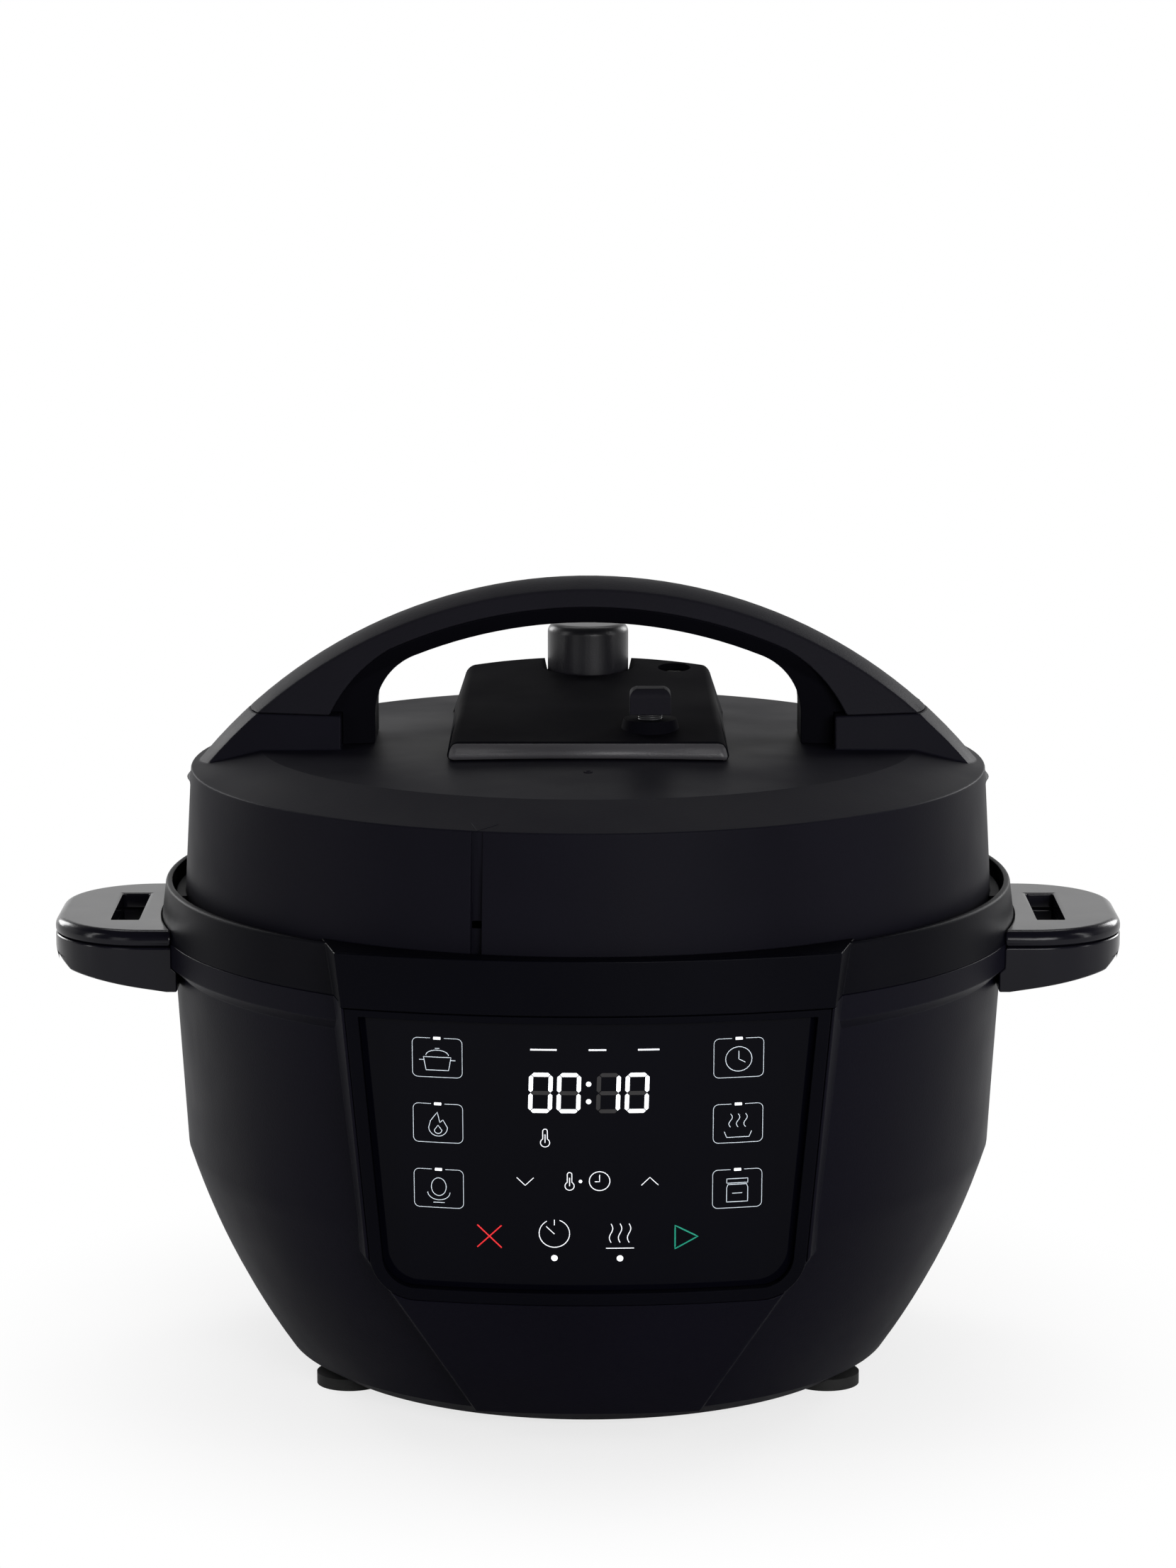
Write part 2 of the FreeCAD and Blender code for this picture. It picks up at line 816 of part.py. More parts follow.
screw_holes = handle_screw("handle_screw_holes", s.fit_gap)
grip_slope = extrude("grip_slope", "XZ_Plane", [
    (0, handle_low - s.handle_root_drop),
    (handle_tip * 2, handle_low - s.handle_root_drop),
    (handle_tip * 2, seam_level - s.handle_tip_drop),
    (handle_tip, seam_level - s.handle_tip_drop),
    (handle_tip - s.handle_tip_drop, (handle_low + seam_level - s.handle_tip_drop) / 2),
    (wall_top_radius, handle_low),
    (0, handle_low),
], -s.handle_depth, s.handle_depth * 2)
cover_block = round_edges(
    extrude("cover_block", "XY_Plane", handle_plan, handle_part + s.seam_gap,
            handle_top - handle_part - s.seam_gap),
    "cover_round", s.handle_edge_round,
    lambda edge: edge.BoundBox.ZMin > handle_top.value - 0.01 and edge.BoundBox.XMax > handle_root.value + 1,
)
grip_block = extrude("grip_block", "XY_Plane", handle_plan, handle_low, handle_part - handle_low)
turned_screws = []
for name, turn in (("right", 0), ("left", 180)):
    cover = cut(f"{name}_handle_cover", cover_block, body_form, slot, screw_holes)
    grip = cut(f"{name}_handle_grip", grip_block, body_form, slot, screw_holes, grip_slope)
    node(place(cover, axis=Z_AXIS, angle=turn))
    node(place(grip, axis=Z_AXIS, angle=turn))
    pair = handle_screw(f"{name}_screws", as_size(0))
    turned_screws.append(place(pair, axis=Z_AXIS, angle=turn))
node(fuse("handle_screws", *turned_screws))

# Bottom cover, feet and screws
lip_radius = housing_foot_radius - s.housing_wall - s.spigot_gap
cover_rim = s.foot_height + s.cover_flare_height
cover_dish = revolve("cover_dish", [
    (0, s.foot_height),
    (cover_radius, s.foot_height),
    (housing_foot_radius - s.seam_gap * 4, cover_rim),
    (lip_radius, cover_rim),
    (lip_radius, cover_rim + s.cover_lip_height),
    (lip_radius - s.cover_lip_wall, cover_rim + s.cover_lip_height),
    (lip_radius - s.cover_lip_wall, cover_rim),
    (cover_radius - s.cover_lip_wall, cover_top),
    (0, cover_top),
])


def ring_of(label, count, radius, make, first=0.5):
    """Copies of a piece on a circle, the first one a part of a step round from the right."""
    pieces = []
    for step in range(count):
        angle = math.radians(360 * (step + first) / count)
        pieces.append(make(f"{label}_{step + 1}", radius * math.cos(angle), radius * math.sin(angle)))
    return pieces


standoff_top = cover_top + s.standoff_height
standoffs = []
for side_x in (-1, 1):
    for side_y in (-1, 1):
        x = (s.mainboard_length / 2 - s.standoff_radius * 2) * side_x
        y = s.mainboard_y + (s.mainboard_width / 2 - s.standoff_radius * 2) * side_y
        standoffs.append(cylinder(
            f"standoff_{len(standoffs) + 1}", s.standoff_radius, s.standoff_height, x, y, cover_top))
node(fuse("board_standoffs", *standoffs))
cover_holes = ring_of(
    "cover_hole", 3, s.screw_circle,
    lambda label, x, y: cylinder(label, s.screw_radius + s.fit_gap, s.foot_height * 2, x, y, 0))
node(cut("bottom_cover", cover_dish, *cover_holes))


def cover_screw(label, x, y):
    shank = cylinder(label + "_shank", s.screw_radius, s.screw_length, x, y,
                     s.foot_height)
    head = cylinder(label + "_head", s.screw_head_radius, s.screw_head_height, x, y,
                    s.foot_height - s.screw_head_height)
    return fuse(label, shank, head)


node(fuse("bottom_screws", *ring_of("bottom_screw", 3, s.screw_circle, cover_screw)))
feet = []
foot_circle = cover_radius - s.foot_inset
foot_x = foot_circle * cosine(s.foot_bearing)
foot_y = foot_circle * sine(s.foot_bearing)
for side_x in (-1, 1):
    for side_y in (-1, 1):
        feet.append(cylinder(
            f"foot_{len(feet) + 1}", s.foot_radius, s.foot_height, foot_x * side_x, foot_y * side_y))
node(fuse("feet", *feet))

# Power board and its parts
node(box("power_board", s.mainboard_length, s.mainboard_width, s.board_thickness,
         -(s.mainboard_length / 2), s.mainboard_y - s.mainboard_width / 2, standoff_top))
parts_level = standoff_top + s.board_thickness
node(box("power_relay", s.relay_length, s.relay_width, s.relay_height,
         s.relay_length / 4, s.mainboard_y, parts_level))
node(cylinder("filter_capacitor", s.capacitor_radius, s.capacitor_length,
              -(s.mainboard_length / 4), s.mainboard_y + s.capacitor_length / 2,
              parts_level + s.capacitor_radius, X_AXIS, 90))

# Power inlet at the back
inlet_x = -(s.inlet_width / 2)
node(cut(
    "power_inlet",
    common(
        "inlet_block", housing_form,
        box("inlet_bar", s.inlet_width, s.inlet_depth * 2, inlet_height, inlet_x, inlet_y, inlet_foot)),
    box("inlet_socket", s.inlet_socket_width, s.inlet_depth * 2, socket_height,
        -(s.inlet_socket_width / 2), inlet_face - s.inlet_socket_depth,
        inlet_level - socket_height / 2),
))
pins = []
for place_x in (-1, 0, 1):
    rise = pin_height / 2 if place_x == 0 else as_size(0)
    pins.append(box(
        f"pin_{len(pins) + 1}", s.pin_width, s.pin_length, pin_height,
        s.pin_pitch * place_x - s.pin_width / 2, inlet_face - s.inlet_socket_depth,
        inlet_level - pin_height / 2 + rise - pin_height / 4))
node(fuse("inlet_pins", *pins))

# Pot, heat shield, locking flange and heater
pot_rim_radius = pot_radius + s.pot_rim_width
node(revolve("inner_pot", [
    (0, s.pot_floor_height),
    (pot_radius - s.pot_floor_round, s.pot_floor_height, s.pot_floor_round, -1),
    (pot_radius, s.pot_floor_height + s.pot_floor_round),
    (pot_radius, neck_top),
    (pot_rim_radius, neck_top),
    (pot_rim_radius, pot_rim_top),
    (pot_radius - s.pot_wall, pot_rim_top),
    (pot_radius - s.pot_wall, s.pot_floor_height + s.pot_floor_round, s.pot_floor_round - s.pot_wall, 1),
    (pot_radius - s.pot_floor_round, s.pot_floor_height + s.pot_wall),
    (0, s.pot_floor_height + s.pot_wall),
]))
node(revolve("heat_shield", [
    (shield_hole_radius, shield_floor),
    (shield_outside - s.shield_round, shield_floor, s.shield_round, -1),
    (shield_outside, shield_floor + s.shield_round),
    (shield_outside, shield_top - s.shield_wall),
    (shield_outside + s.shield_flange, shield_top - s.shield_wall),
    (shield_outside + s.shield_flange, shield_top),
    (shield_inside, shield_top),
    (shield_inside, shield_floor + s.shield_round, s.shield_round - s.shield_wall, 1),
    (shield_outside - s.shield_round, shield_floor + s.shield_wall),
    (shield_hole_radius, shield_floor + s.shield_wall),
]))
LUGS = 6
lug_half = s.lug_angle / 2
flange_parts = [ring("flange_neck", neck_outside, shield_inside, s.neck_height, z=shield_top)]
for step in range(LUGS):
    flange_parts.append(sector(
        f"flange_lug_{step + 1}", neck_outside - s.neck_wall / 2, lug_radius, lug_half,
        neck_top - s.lug_thickness, s.lug_thickness, 360 * step / LUGS))
node(fuse("locking_flange", *flange_parts))
node(ring("heating_plate", plate_radius, s.plate_bore, s.plate_thickness, z=plate_foot))
element = add("Part::Torus", "heating_element")
bind(element, "Radius1", element_ring_radius)
bind(element, "Radius2", s.element_tube_radius)
node(place(element, z=plate_foot - s.element_tube_radius - s.element_gap))
node(fuse("heater_posts", *ring_of(
    "heater_post", 3, post_circle,
    lambda label, x, y: cylinder(label, s.post_radius, s.post_height, x, y, plate_foot - s.post_height))))
sensor_top = s.pot_floor_height - s.sensor_gap
sensor_foot = sensor_top - s.sensor_height
bracket_level = shield_floor + s.shield_wall
stem_foot = bracket_level - s.sensor_stem_drop
node(revolve("thermal_sensor", [
    (0, stem_foot),
    (s.sensor_stem_radius, stem_foot),
    (s.sensor_stem_radius, sensor_foot),
    (s.sensor_radius, sensor_foot),
    (s.sensor_radius, sensor_top),
    (0, sensor_top),
]))
node(ring("sensor_spring", s.sensor_stem_radius + s.running_gap + s.spring_wall,
          s.sensor_stem_radius + s.running_gap, sensor_foot - bracket_level - s.bracket_thickness,
          z=bracket_level + s.bracket_thickness))
bracket_length = (shield_hole_radius + s.bracket_width) * 2
node(cut(
    "sensor_bracket",
    box("bracket_strap", bracket_length, s.bracket_width, s.bracket_thickness,
        -(bracket_length / 2), -(s.bracket_width / 2), bracket_level),
    cylinder("bracket_hole", s.sensor_stem_radius + s.running_gap, s.bracket_thickness, z=bracket_level),
))
node(cylinder("thermal_fuse", s.fuse_radius, s.fuse_length, -(s.fuse_length / 2), s.bracket_width,
              plate_foot - s.fuse_radius - s.element_gap, Y_AXIS, 90))
node(box("pressure_switch", s.switch_length, s.switch_width, s.switch_height,
         shield_hole_radius, s.bracket_width, shield_floor - s.switch_height))

# Lid cover
skirt_foot = rim_level - s.skirt_depth
dome_radius = (disc_radius * disc_radius + s.dome_rise * s.dome_rise) / (s.dome_rise * 2)


def lid_form(label, inset):
    """The lid's outside as a solid, set in by an inset."""
    return revolve(label, [
        (0, skirt_foot),
        (skirt_radius - inset, skirt_foot),
        (skirt_radius - inset, rim_level),
        (shoulder_radius - inset, shoulder_level - inset),
        (disc_radius, disc_level - inset, dome_radius, -1),
        (0, dome_level - inset),
    ])


lid_skin = lid_form("lid_skin", as_size(0))
lid_space = lid_form("lid_hollow", s.lid_wall)
lid_core = lid_form("lid_core", s.lid_wall / 2)

arch_top = disc_level + s.arch_rise
arch_centre = arch_top - s.arch_radius
arch_edge = s.arch_radius - s.arch_crown
arch_core = s.arch_radius / 2
crown_radius = (s.arch_half_width * s.arch_half_width + s.arch_crown * s.arch_crown) / (s.arch_crown * 2)
core_half = s.arch_half_width + (arch_edge - arch_core) * tangent(s.arch_draft)
arch_wedge = revolve("arch_wedge", [
    (arch_core, -core_half),
    (arch_edge, -s.arch_half_width, crown_radius, -1),
    (arch_edge, s.arch_half_width),
    (arch_core, core_half),
])
place(arch_wedge, z=arch_centre, axis=X_AXIS, angle=90)
seam_radius = s.arch_radius - s.arch_seam_depth
under_radius = s.arch_radius - s.arch_underside
seam_half = s.arch_half_width + (arch_edge - seam_radius) * tangent(s.arch_draft)
grip_wedge = revolve("grip_wedge", [
    (arch_core, -s.grip_half_width),
    (under_radius, -s.grip_half_width),
    (seam_radius, -seam_half),
    (seam_radius + s.arch_underside, -seam_half),
    (seam_radius + s.arch_underside, seam_half),
    (seam_radius, seam_half),
    (under_radius, s.grip_half_width),
    (arch_core, s.grip_half_width),
])
place(grip_wedge, z=arch_centre, axis=X_AXIS, angle=90)
arch_foot = disc_level + s.arch_foot_rise


def above_centre(radius, x):
    """The level of a circle about the arch's centre at a given x."""
    return arch_centre + square_root(radius * radius - x * x)


turn_level = above_centre(seam_radius, s.arch_turn_x)
arch_reach = s.arch_radius + s.arch_rise


def across(label, corners):
    """A front outline extruded from back to front right across the lid."""
    return extrude(label, "XZ_Plane", corners, -s.band_radius, s.band_radius * 2)


arch_whole = common("arch_whole", arch_wedge, across("arch_front", [
    (-arch_reach, arch_foot),
    (-s.arch_foot_x, arch_foot, s.arch_turn_radius, 1),
    (-s.arch_turn_x, turn_level, seam_radius, 1),
    (s.arch_turn_x, turn_level, s.arch_turn_radius, 1),
    (s.arch_foot_x, arch_foot),
    (arch_reach, arch_foot),
    (arch_reach, arch_top + s.arch_rise),
    (-arch_reach, arch_top + s.arch_rise),
]))
leg_outside = s.grip_leg_x + s.grip_leg_width
grip_turn_level = above_centre(under_radius, s.grip_turn_x)
leg_level = grip_turn_level - s.grip_turn_drop
grip_whole = common("grip_whole", grip_wedge, across("grip_front", [
    (-leg_outside, shoulder_level),
    (-leg_outside, arch_foot),
    (-s.arch_foot_x, arch_foot, s.arch_turn_radius, 1),
    (-s.arch_turn_x, turn_level, seam_radius, 1),
    (s.arch_turn_x, turn_level, s.arch_turn_radius, 1),
    (s.arch_foot_x, arch_foot),
    (leg_outside, arch_foot),
    (leg_outside, shoulder_level),
    (s.grip_leg_x, shoulder_level),
    (s.grip_leg_x, leg_level, s.grip_turn_radius, -1),
    (s.grip_turn_x, grip_turn_level, under_radius, -1),
    (-s.grip_turn_x, grip_turn_level, s.grip_turn_radius, -1),
    (-s.grip_leg_x, leg_level),
    (-s.grip_leg_x, shoulder_level),
]))
node(cut("handle_underside", grip_whole, lid_skin))
bracket_foot = shoulder_level - s.lid_wall * 2
brackets = []
for name, side in (("left", -1), ("right", 1)):
    inner = (leg_outside + s.bracket_gap) * side
    outer = arch_reach * side
    corners = [
        (inner, bracket_foot),
        (outer, bracket_foot),
        (outer, arch_foot - s.bracket_gap),
        (inner, arch_foot - s.bracket_gap),
    ]
    block = common(f"{name}_bracket_block", arch_wedge, across(f"{name}_bracket_front", corners))
    brackets.append(cut(f"{name}_bracket", block, lid_core))
fin_level = floor_level + s.fin_drop
fin_half = arctangent(s.fin_length / skirt_radius / 2)
fins = []
for step in range(2):
    fins.append(sector(
        f"lid_fin_{step + 1}", skirt_radius - s.lid_wall / 2, skirt_radius + s.fin_reach, fin_half,
        fin_level, skirt_foot + s.skirt_depth / 2 - fin_level, 180 * step))
lid_wall_solid = cut("lid_wall_solid", lid_skin, lid_space)
marker_face = skirt_radius - s.skirt_lean - s.marker_depth
marker = extrude("lid_marker", "XY_Plane", [
    (-(s.marker_width / 2), -(skirt_radius + s.skirt_gap)),
    (s.marker_width / 2, -(skirt_radius + s.skirt_gap)),
    (s.marker_width / 2, -marker_face),
    (-(s.marker_width / 2), -marker_face),
], skirt_foot, s.lid_wall_height + s.skirt_depth)
place(marker, axis=Z_AXIS, angle=-s.marker_angle)


def bore(label, radius, x, y):
    """A hole right through the lid."""
    return cylinder(label, radius, s.arch_radius, x, y, skirt_foot)


bolt_x = (leg_outside + s.arch_foot_x + s.bevel_width) / 2
bolt_seat = disc_level + s.dome_rise * (1 - bolt_x * bolt_x / disc_radius / disc_radius) - s.lid_wall
bolt_top = arch_foot + s.handle_bolt_bite
bolt_foot = bolt_seat - s.handle_bolt_sink


def handle_bolts(label, gap):
    pieces = []
    for side in (-1, 1):
        pieces.append(cylinder(
            f"{label}_shank_{side + 2}", s.handle_bolt_radius + gap, bolt_top - bolt_foot + gap,
            bolt_x * side, as_size(0), bolt_foot))
        if gap.value == 0:
            pieces.append(cylinder(
                f"{label}_head_{side + 2}", s.handle_bolt_radius * 2, s.handle_bolt_radius,
                bolt_x * side, as_size(0), bolt_foot - s.handle_bolt_radius))
    return fuse(label, *pieces)


bolt_holes = handle_bolts("bolt_holes", s.fit_gap)
node(cut("handle_arch", arch_whole, bolt_holes))
node(handle_bolts("handle_bolts", as_size(0)))
pipe_hole = bore("pipe_hole", s.pipe_radius + s.running_gap, 0, s.valve_y)
float_hole = bore("float_hole", s.float_radius + s.running_gap, s.float_x, s.float_y)
node(cut(
    "lid_cover", fuse("lid_whole", lid_wall_solid, *brackets, *fins),
    marker, bolt_holes, pipe_hole, float_hole,
))

# Lid pan, posts and seal
pan_foot = neck_top - s.lug_thickness - s.pan_lug_gap - s.pan_lug_thickness
pan_dish = revolve("pan_dish", [
    (0, pan_level),
    (pan_inside, pan_level),
    (pan_inside, pan_foot),
    (pan_outside, pan_foot),
    (pan_outside, pan_top),
    (0, pan_top),
])
pan_lugs = []
for step in range(LUGS):
    pan_lugs.append(sector(
        f"pan_lug_{step + 1}", pan_lug_inside, pan_inside + s.pan_wall / 2, lug_half,
        pan_foot, s.pan_lug_thickness, 360 * (step + 0.5) / LUGS))
node(cut("lid_pan", fuse("pan_whole", pan_dish, *pan_lugs), pipe_hole, float_hole))
post_roof = disc_level - s.lid_wall
post_roof = post_roof + s.dome_rise * (1 - lid_post_circle * lid_post_circle / disc_radius / disc_radius)
post_length = post_roof - pan_top - s.lid_post_gap
node(fuse("lid_posts", *ring_of(
    "lid_post", 3, lid_post_circle,
    lambda label, x, y: cylinder(label, s.lid_post_radius, post_length, x, y, pan_top), 0.25)))
seal_outside = pan_inside - s.running_gap
seal_foot = pot_rim_top + s.seal_gap
node(ring("sealing_ring", seal_outside, seal_outside - s.seal_width, s.seal_height - s.seal_gap, z=seal_foot))
rack = add("Part::Torus", "ring_rack")
bind(rack, "Radius1", seal_outside - s.seal_width - s.rack_tube_radius - s.rack_gap)
bind(rack, "Radius2", s.rack_tube_radius)
node(place(rack, z=pan_level - s.rack_tube_radius - s.rack_gap))

# Valve deck
deck_foot = disc_level - s.dome_rise
deck_front_top = disc_level + s.deck_front_height


def deck_plane(y):
    """The level of the deck's sloping top at a given y."""
    return deck_front_top + (s.deck_front + y) * tangent(s.deck_slope)


def deck_form(label, inset):
    """The deck's outside, drawn in by an inset."""
    half = s.deck_half_width - inset
    bow = s.deck_back - s.deck_corner_y
    bow_radius = (half * half + bow * bow) / (bow * 2)
    block = extrude(label + "_block", "XY_Plane", [
        (-half, inset - s.deck_front),
        (half, inset - s.deck_front),
        (half, s.deck_corner_y - inset, bow_radius, -1),
        (-half, s.deck_corner_y - inset),
    ], deck_foot, s.arch_rise, -s.deck_draft)
    top = box(label + "_top", s.band_radius * 2, s.band_radius * 2, s.arch_radius,
              -s.band_radius, -s.band_radius, deck_plane(-s.band_radius) - inset, X_AXIS, s.deck_slope)
    return cut(label, block, top)


deck_outside = deck_form("deck_outside", as_size(0))
deck_inside = deck_form("deck_inside", s.deck_wall)
recess_radius = s.valve_radius + s.valve_recess_gap
recess_level = deck_plane(s.valve_y - recess_radius) - s.valve_recess_depth
tower = common("valve_tower", deck_outside, cylinder(
    "tower_block", recess_radius + s.deck_wall, s.arch_radius, 0, s.valve_y, recess_level - s.deck_wall))
lever_turn = arctangent(s.button_x / (s.valve_y - s.lever_post_inset - s.button_y))
post_y = s.valve_y - s.lever_post_inset
pivot_x = s.button_x / 2
pivot_y = (s.button_y + post_y) / 2
lever_foot = dome_level + s.lever_level
lever_top = lever_foot + s.lever_thickness


def on_lever(label, width, length, height, x, y, z):
    """A box in the lever's own frame, centred on its pivot."""
    turn = lever_turn
    left, front = x - width / 2, y - length / 2
    return box(
        label, width, length, height,
        pivot_x + left * cosine(turn) - front * sine(turn),
        pivot_y + left * sine(turn) + front * cosine(turn), z, Z_AXIS, turn)


def lever_axle(label, radius, length):
    """A round bar across the lever at its pivot."""
    reach = length / 2
    across_x, across_y = cosine(lever_turn), sine(lever_turn)
    item = cylinder(
        label, radius, length, pivot_x - reach * across_x, pivot_y - reach * across_y, lever_top,
        Vector(across_x.value, across_y.value, 1), HALF_TURN)
    for letter, size in zip("xyz", (across_x, across_y, as_size(1))):
        bind(item, f"Placement.Rotation.Axis.{letter}", size)
    return item


ear_x = s.lever_width / 2 + s.running_gap + s.ear_width / 2
ear_height = deck_plane(pivot_y) - s.deck_wall / 2 - lever_foot
ears = []
for side in (-1, 1):
    ears.append(on_lever(
        f"lever_ear_{side + 2}", s.ear_width, s.ear_width * 3, ear_height,
        ear_x * side, as_size(0), lever_foot))
pin_length = (ear_x + s.ear_width / 2) * 2
node(cut(
    "valve_deck", fuse("deck_whole", cut("deck_shell", deck_outside, deck_inside), tower, *ears),
    lid_skin,
    cylinder("valve_recess", recess_radius, s.arch_radius, 0, s.valve_y, recess_level),
    pipe_hole,
    cylinder("lever_post_hole", s.lever_post_radius + s.running_gap * 2, s.arch_radius, 0, post_y, lever_foot),
    bore("deck_float_hole", s.float_hole_radius, s.float_x, s.float_y),
    bore("button_hole", s.button_stem_radius + s.running_gap, s.button_x, s.button_y),
    lever_axle("ear_holes", s.lever_pin_radius + s.fit_gap, pin_length + s.ear_width),
))
node(lever_axle("lever_pin", s.lever_pin_radius, pin_length))
lever_length = (post_y - s.button_y) / cosine(lever_turn) + s.lever_width
node(cut(
    "release_lever",
    fuse(
        "lever_whole",
        on_lever("lever_bar", s.lever_width, lever_length, s.lever_thickness,
                 as_size(0), as_size(0), lever_foot),
        lever_axle("lever_hub", s.lever_pin_radius * 2, s.lever_width),
        cylinder("lever_post", s.lever_post_radius, recess_level - lever_foot + s.valve_seat_gap / 2,
                 0, post_y, lever_foot),
    ),
    lever_axle("lever_bore", s.lever_pin_radius + s.running_gap / 4, pin_length),
))

# Steam pipe and valve
pipe_top = recess_level + s.pipe_top_rise
node(ring("steam_pipe", s.pipe_radius, s.pipe_bore, pipe_top - pan_level + s.pipe_drop,
          0, s.valve_y, pan_level - s.pipe_drop))
node(ring("pipe_nut", s.nut_radius, s.pipe_radius + s.fit_gap, s.nut_height, 0, s.valve_y, pan_top))
node(revolve("anti_block_shield", [
    (s.pipe_radius + s.fit_gap, pan_level - s.shield_cap_wall),
    (s.shield_cap_radius - s.shield_cap_wall, pan_level - s.shield_cap_wall),
    (s.shield_cap_radius - s.shield_cap_wall, pan_level - s.shield_cap_height),
    (s.shield_cap_radius, pan_level - s.shield_cap_height),
    (s.shield_cap_radius, pan_level),
    (s.pipe_radius + s.fit_gap, pan_level),
], y=s.valve_y))
valve_foot = recess_level + s.valve_seat_gap
valve_top = valve_foot + s.valve_height
valve_bore = s.pipe_radius + s.running_gap
node(revolve("steam_valve", [
    (0, pipe_top + s.running_gap),
    (valve_bore, pipe_top + s.running_gap),
    (valve_bore, valve_foot),
    (s.valve_radius, valve_foot),
    (s.valve_radius, valve_top - s.valve_round, s.valve_round, -1),
    (s.valve_radius - s.valve_round, valve_top),
    (0, valve_top),
], y=s.valve_y))

# Float valve
float_top = deck_plane(s.float_y) - s.float_sink
flange_foot = pan_top + s.running_gap
cap_top = pan_level - s.float_lift - s.running_gap
node(revolve("float_valve", [
    (0, cap_top),
    (s.float_radius, cap_top),
    (s.float_radius, flange_foot),
    (s.float_flange_radius, flange_foot),
    (s.float_flange_radius, flange_foot + s.float_flange_height),
    (s.float_radius, flange_foot + s.float_flange_height),
    (s.float_radius, float_top),
    (0, float_top),
], s.float_x, s.float_y))
node(cylinder("float_cap", s.float_cap_radius, s.float_cap_height, s.float_x, s.float_y,
              cap_top - s.float_cap_height))

# Quick release button
button_roof = deck_plane(s.button_y)
collar_top = button_roof + s.button_collar_height
collar_foot = deck_plane(s.button_y - s.button_collar_radius) - s.deck_wall / 2
button_foot = collar_top + s.button_travel + s.running_gap
cone = add("Part::Cone", "collar_cone")
bind(cone, "Radius1", s.button_collar_radius)
bind(cone, "Radius2", s.button_collar_top)
bind(cone, "Height", collar_top - collar_foot)
place(cone, s.button_x, s.button_y, collar_foot)
spring_radius = s.button_stem_radius + s.running_gap + s.spring_wall
spring_seat = collar_top - s.button_collar_height / 2
node(cut(
    "button_collar", cone, deck_outside,
    bore("collar_stem_hole", s.button_stem_radius + s.running_gap, s.button_x, s.button_y),
    cylinder("spring_well", spring_radius + s.running_gap, s.arch_radius, s.button_x, s.button_y, spring_seat),
))
node(ring("button_spring", spring_radius, s.button_stem_radius + s.running_gap, button_foot - spring_seat,
          s.button_x, s.button_y, spring_seat))
button_half_x = s.button_width / 2
button_half_y = s.button_length / 2
cap_block = extrude("button_cap", "XY_Plane", [
    (-button_half_x, -button_half_y),
    (button_half_x, -button_half_y),
    (button_half_x, button_half_y),
    (-button_half_x, button_half_y),
], 0, s.button_height)
round_edges(cap_block, "button_cap_round", s.button_round,
            lambda edge: edge.BoundBox.ZMin > s.button_height.value - 0.01)
place(cap_block, s.button_x, s.button_y, button_foot)
stem_low = lever_top + s.running_gap
node(fuse(
    "quick_release_button", cap_block,
    cylinder("button_stem", s.button_stem_radius, button_foot - stem_low + s.button_round,
             s.button_x, s.button_y, stem_low),
))


def write_pieces():
    """Check every object, then write each piece to its own file."""
    doc.recompute()
    for item in doc.Objects:
        if "Invalid" in item.State or "Error" in item.State:
            raise RuntimeError(f"{item.Label} failed: {item.State}")
    os.makedirs("parts", exist_ok=True)
    for item in nodes:
        if item.Shape.isNull() or not item.Shape.isValid():
            raise RuntimeError(f"{item.Label} has no valid shape")
    for item in nodes:
        item.Shape.exportStep(f"parts/{item.Label}.step")
        print(item.Label, len(item.Shape.Solids), round(item.Shape.Volume))


write_pieces()
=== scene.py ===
# %% Load the frame
import json
import math

import bpy
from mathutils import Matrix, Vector

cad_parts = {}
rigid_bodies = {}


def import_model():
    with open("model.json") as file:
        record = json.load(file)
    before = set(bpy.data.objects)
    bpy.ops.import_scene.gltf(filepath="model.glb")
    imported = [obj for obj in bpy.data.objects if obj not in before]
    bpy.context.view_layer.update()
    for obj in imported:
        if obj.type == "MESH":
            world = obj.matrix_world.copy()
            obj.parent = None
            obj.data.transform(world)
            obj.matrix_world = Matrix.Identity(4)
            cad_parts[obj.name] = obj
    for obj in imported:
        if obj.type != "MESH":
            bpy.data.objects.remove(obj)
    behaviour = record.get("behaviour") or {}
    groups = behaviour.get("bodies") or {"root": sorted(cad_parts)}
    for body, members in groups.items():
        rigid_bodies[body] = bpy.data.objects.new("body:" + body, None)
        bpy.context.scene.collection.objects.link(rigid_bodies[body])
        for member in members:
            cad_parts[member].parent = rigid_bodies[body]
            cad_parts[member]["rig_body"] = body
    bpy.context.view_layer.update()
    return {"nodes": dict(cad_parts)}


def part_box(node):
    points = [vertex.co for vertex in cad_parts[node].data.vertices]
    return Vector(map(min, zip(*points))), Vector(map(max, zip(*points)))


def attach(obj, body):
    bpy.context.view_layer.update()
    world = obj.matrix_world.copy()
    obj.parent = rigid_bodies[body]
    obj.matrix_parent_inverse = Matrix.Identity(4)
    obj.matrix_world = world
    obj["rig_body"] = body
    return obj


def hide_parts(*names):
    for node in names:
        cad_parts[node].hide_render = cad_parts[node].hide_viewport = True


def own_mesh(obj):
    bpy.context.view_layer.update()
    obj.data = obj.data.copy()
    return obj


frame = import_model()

nodes = frame["nodes"]
MM = 0.001

# %% [markdown]
# The cooker was photographed from the front, a little above the lid, with a long
# lens. A camera can be placed by eye, but this one was worked out from the round
# rims: where their front and back edges fall gives the height and the distance.
# The object stands low in a tall frame, so the lens is also shifted.

# %% Camera
PHOTO_WIDTH, PHOTO_HEIGHT = 1659, 2212
FOCAL_PIXELS = 6686
AIM_ROW = 1402
SENSOR = 36.0
CAMERA_PLACE = Vector((0.0, -1.600, 0.4839))
CAMERA_AIM = Vector((0.0, 0.0, 0.127))

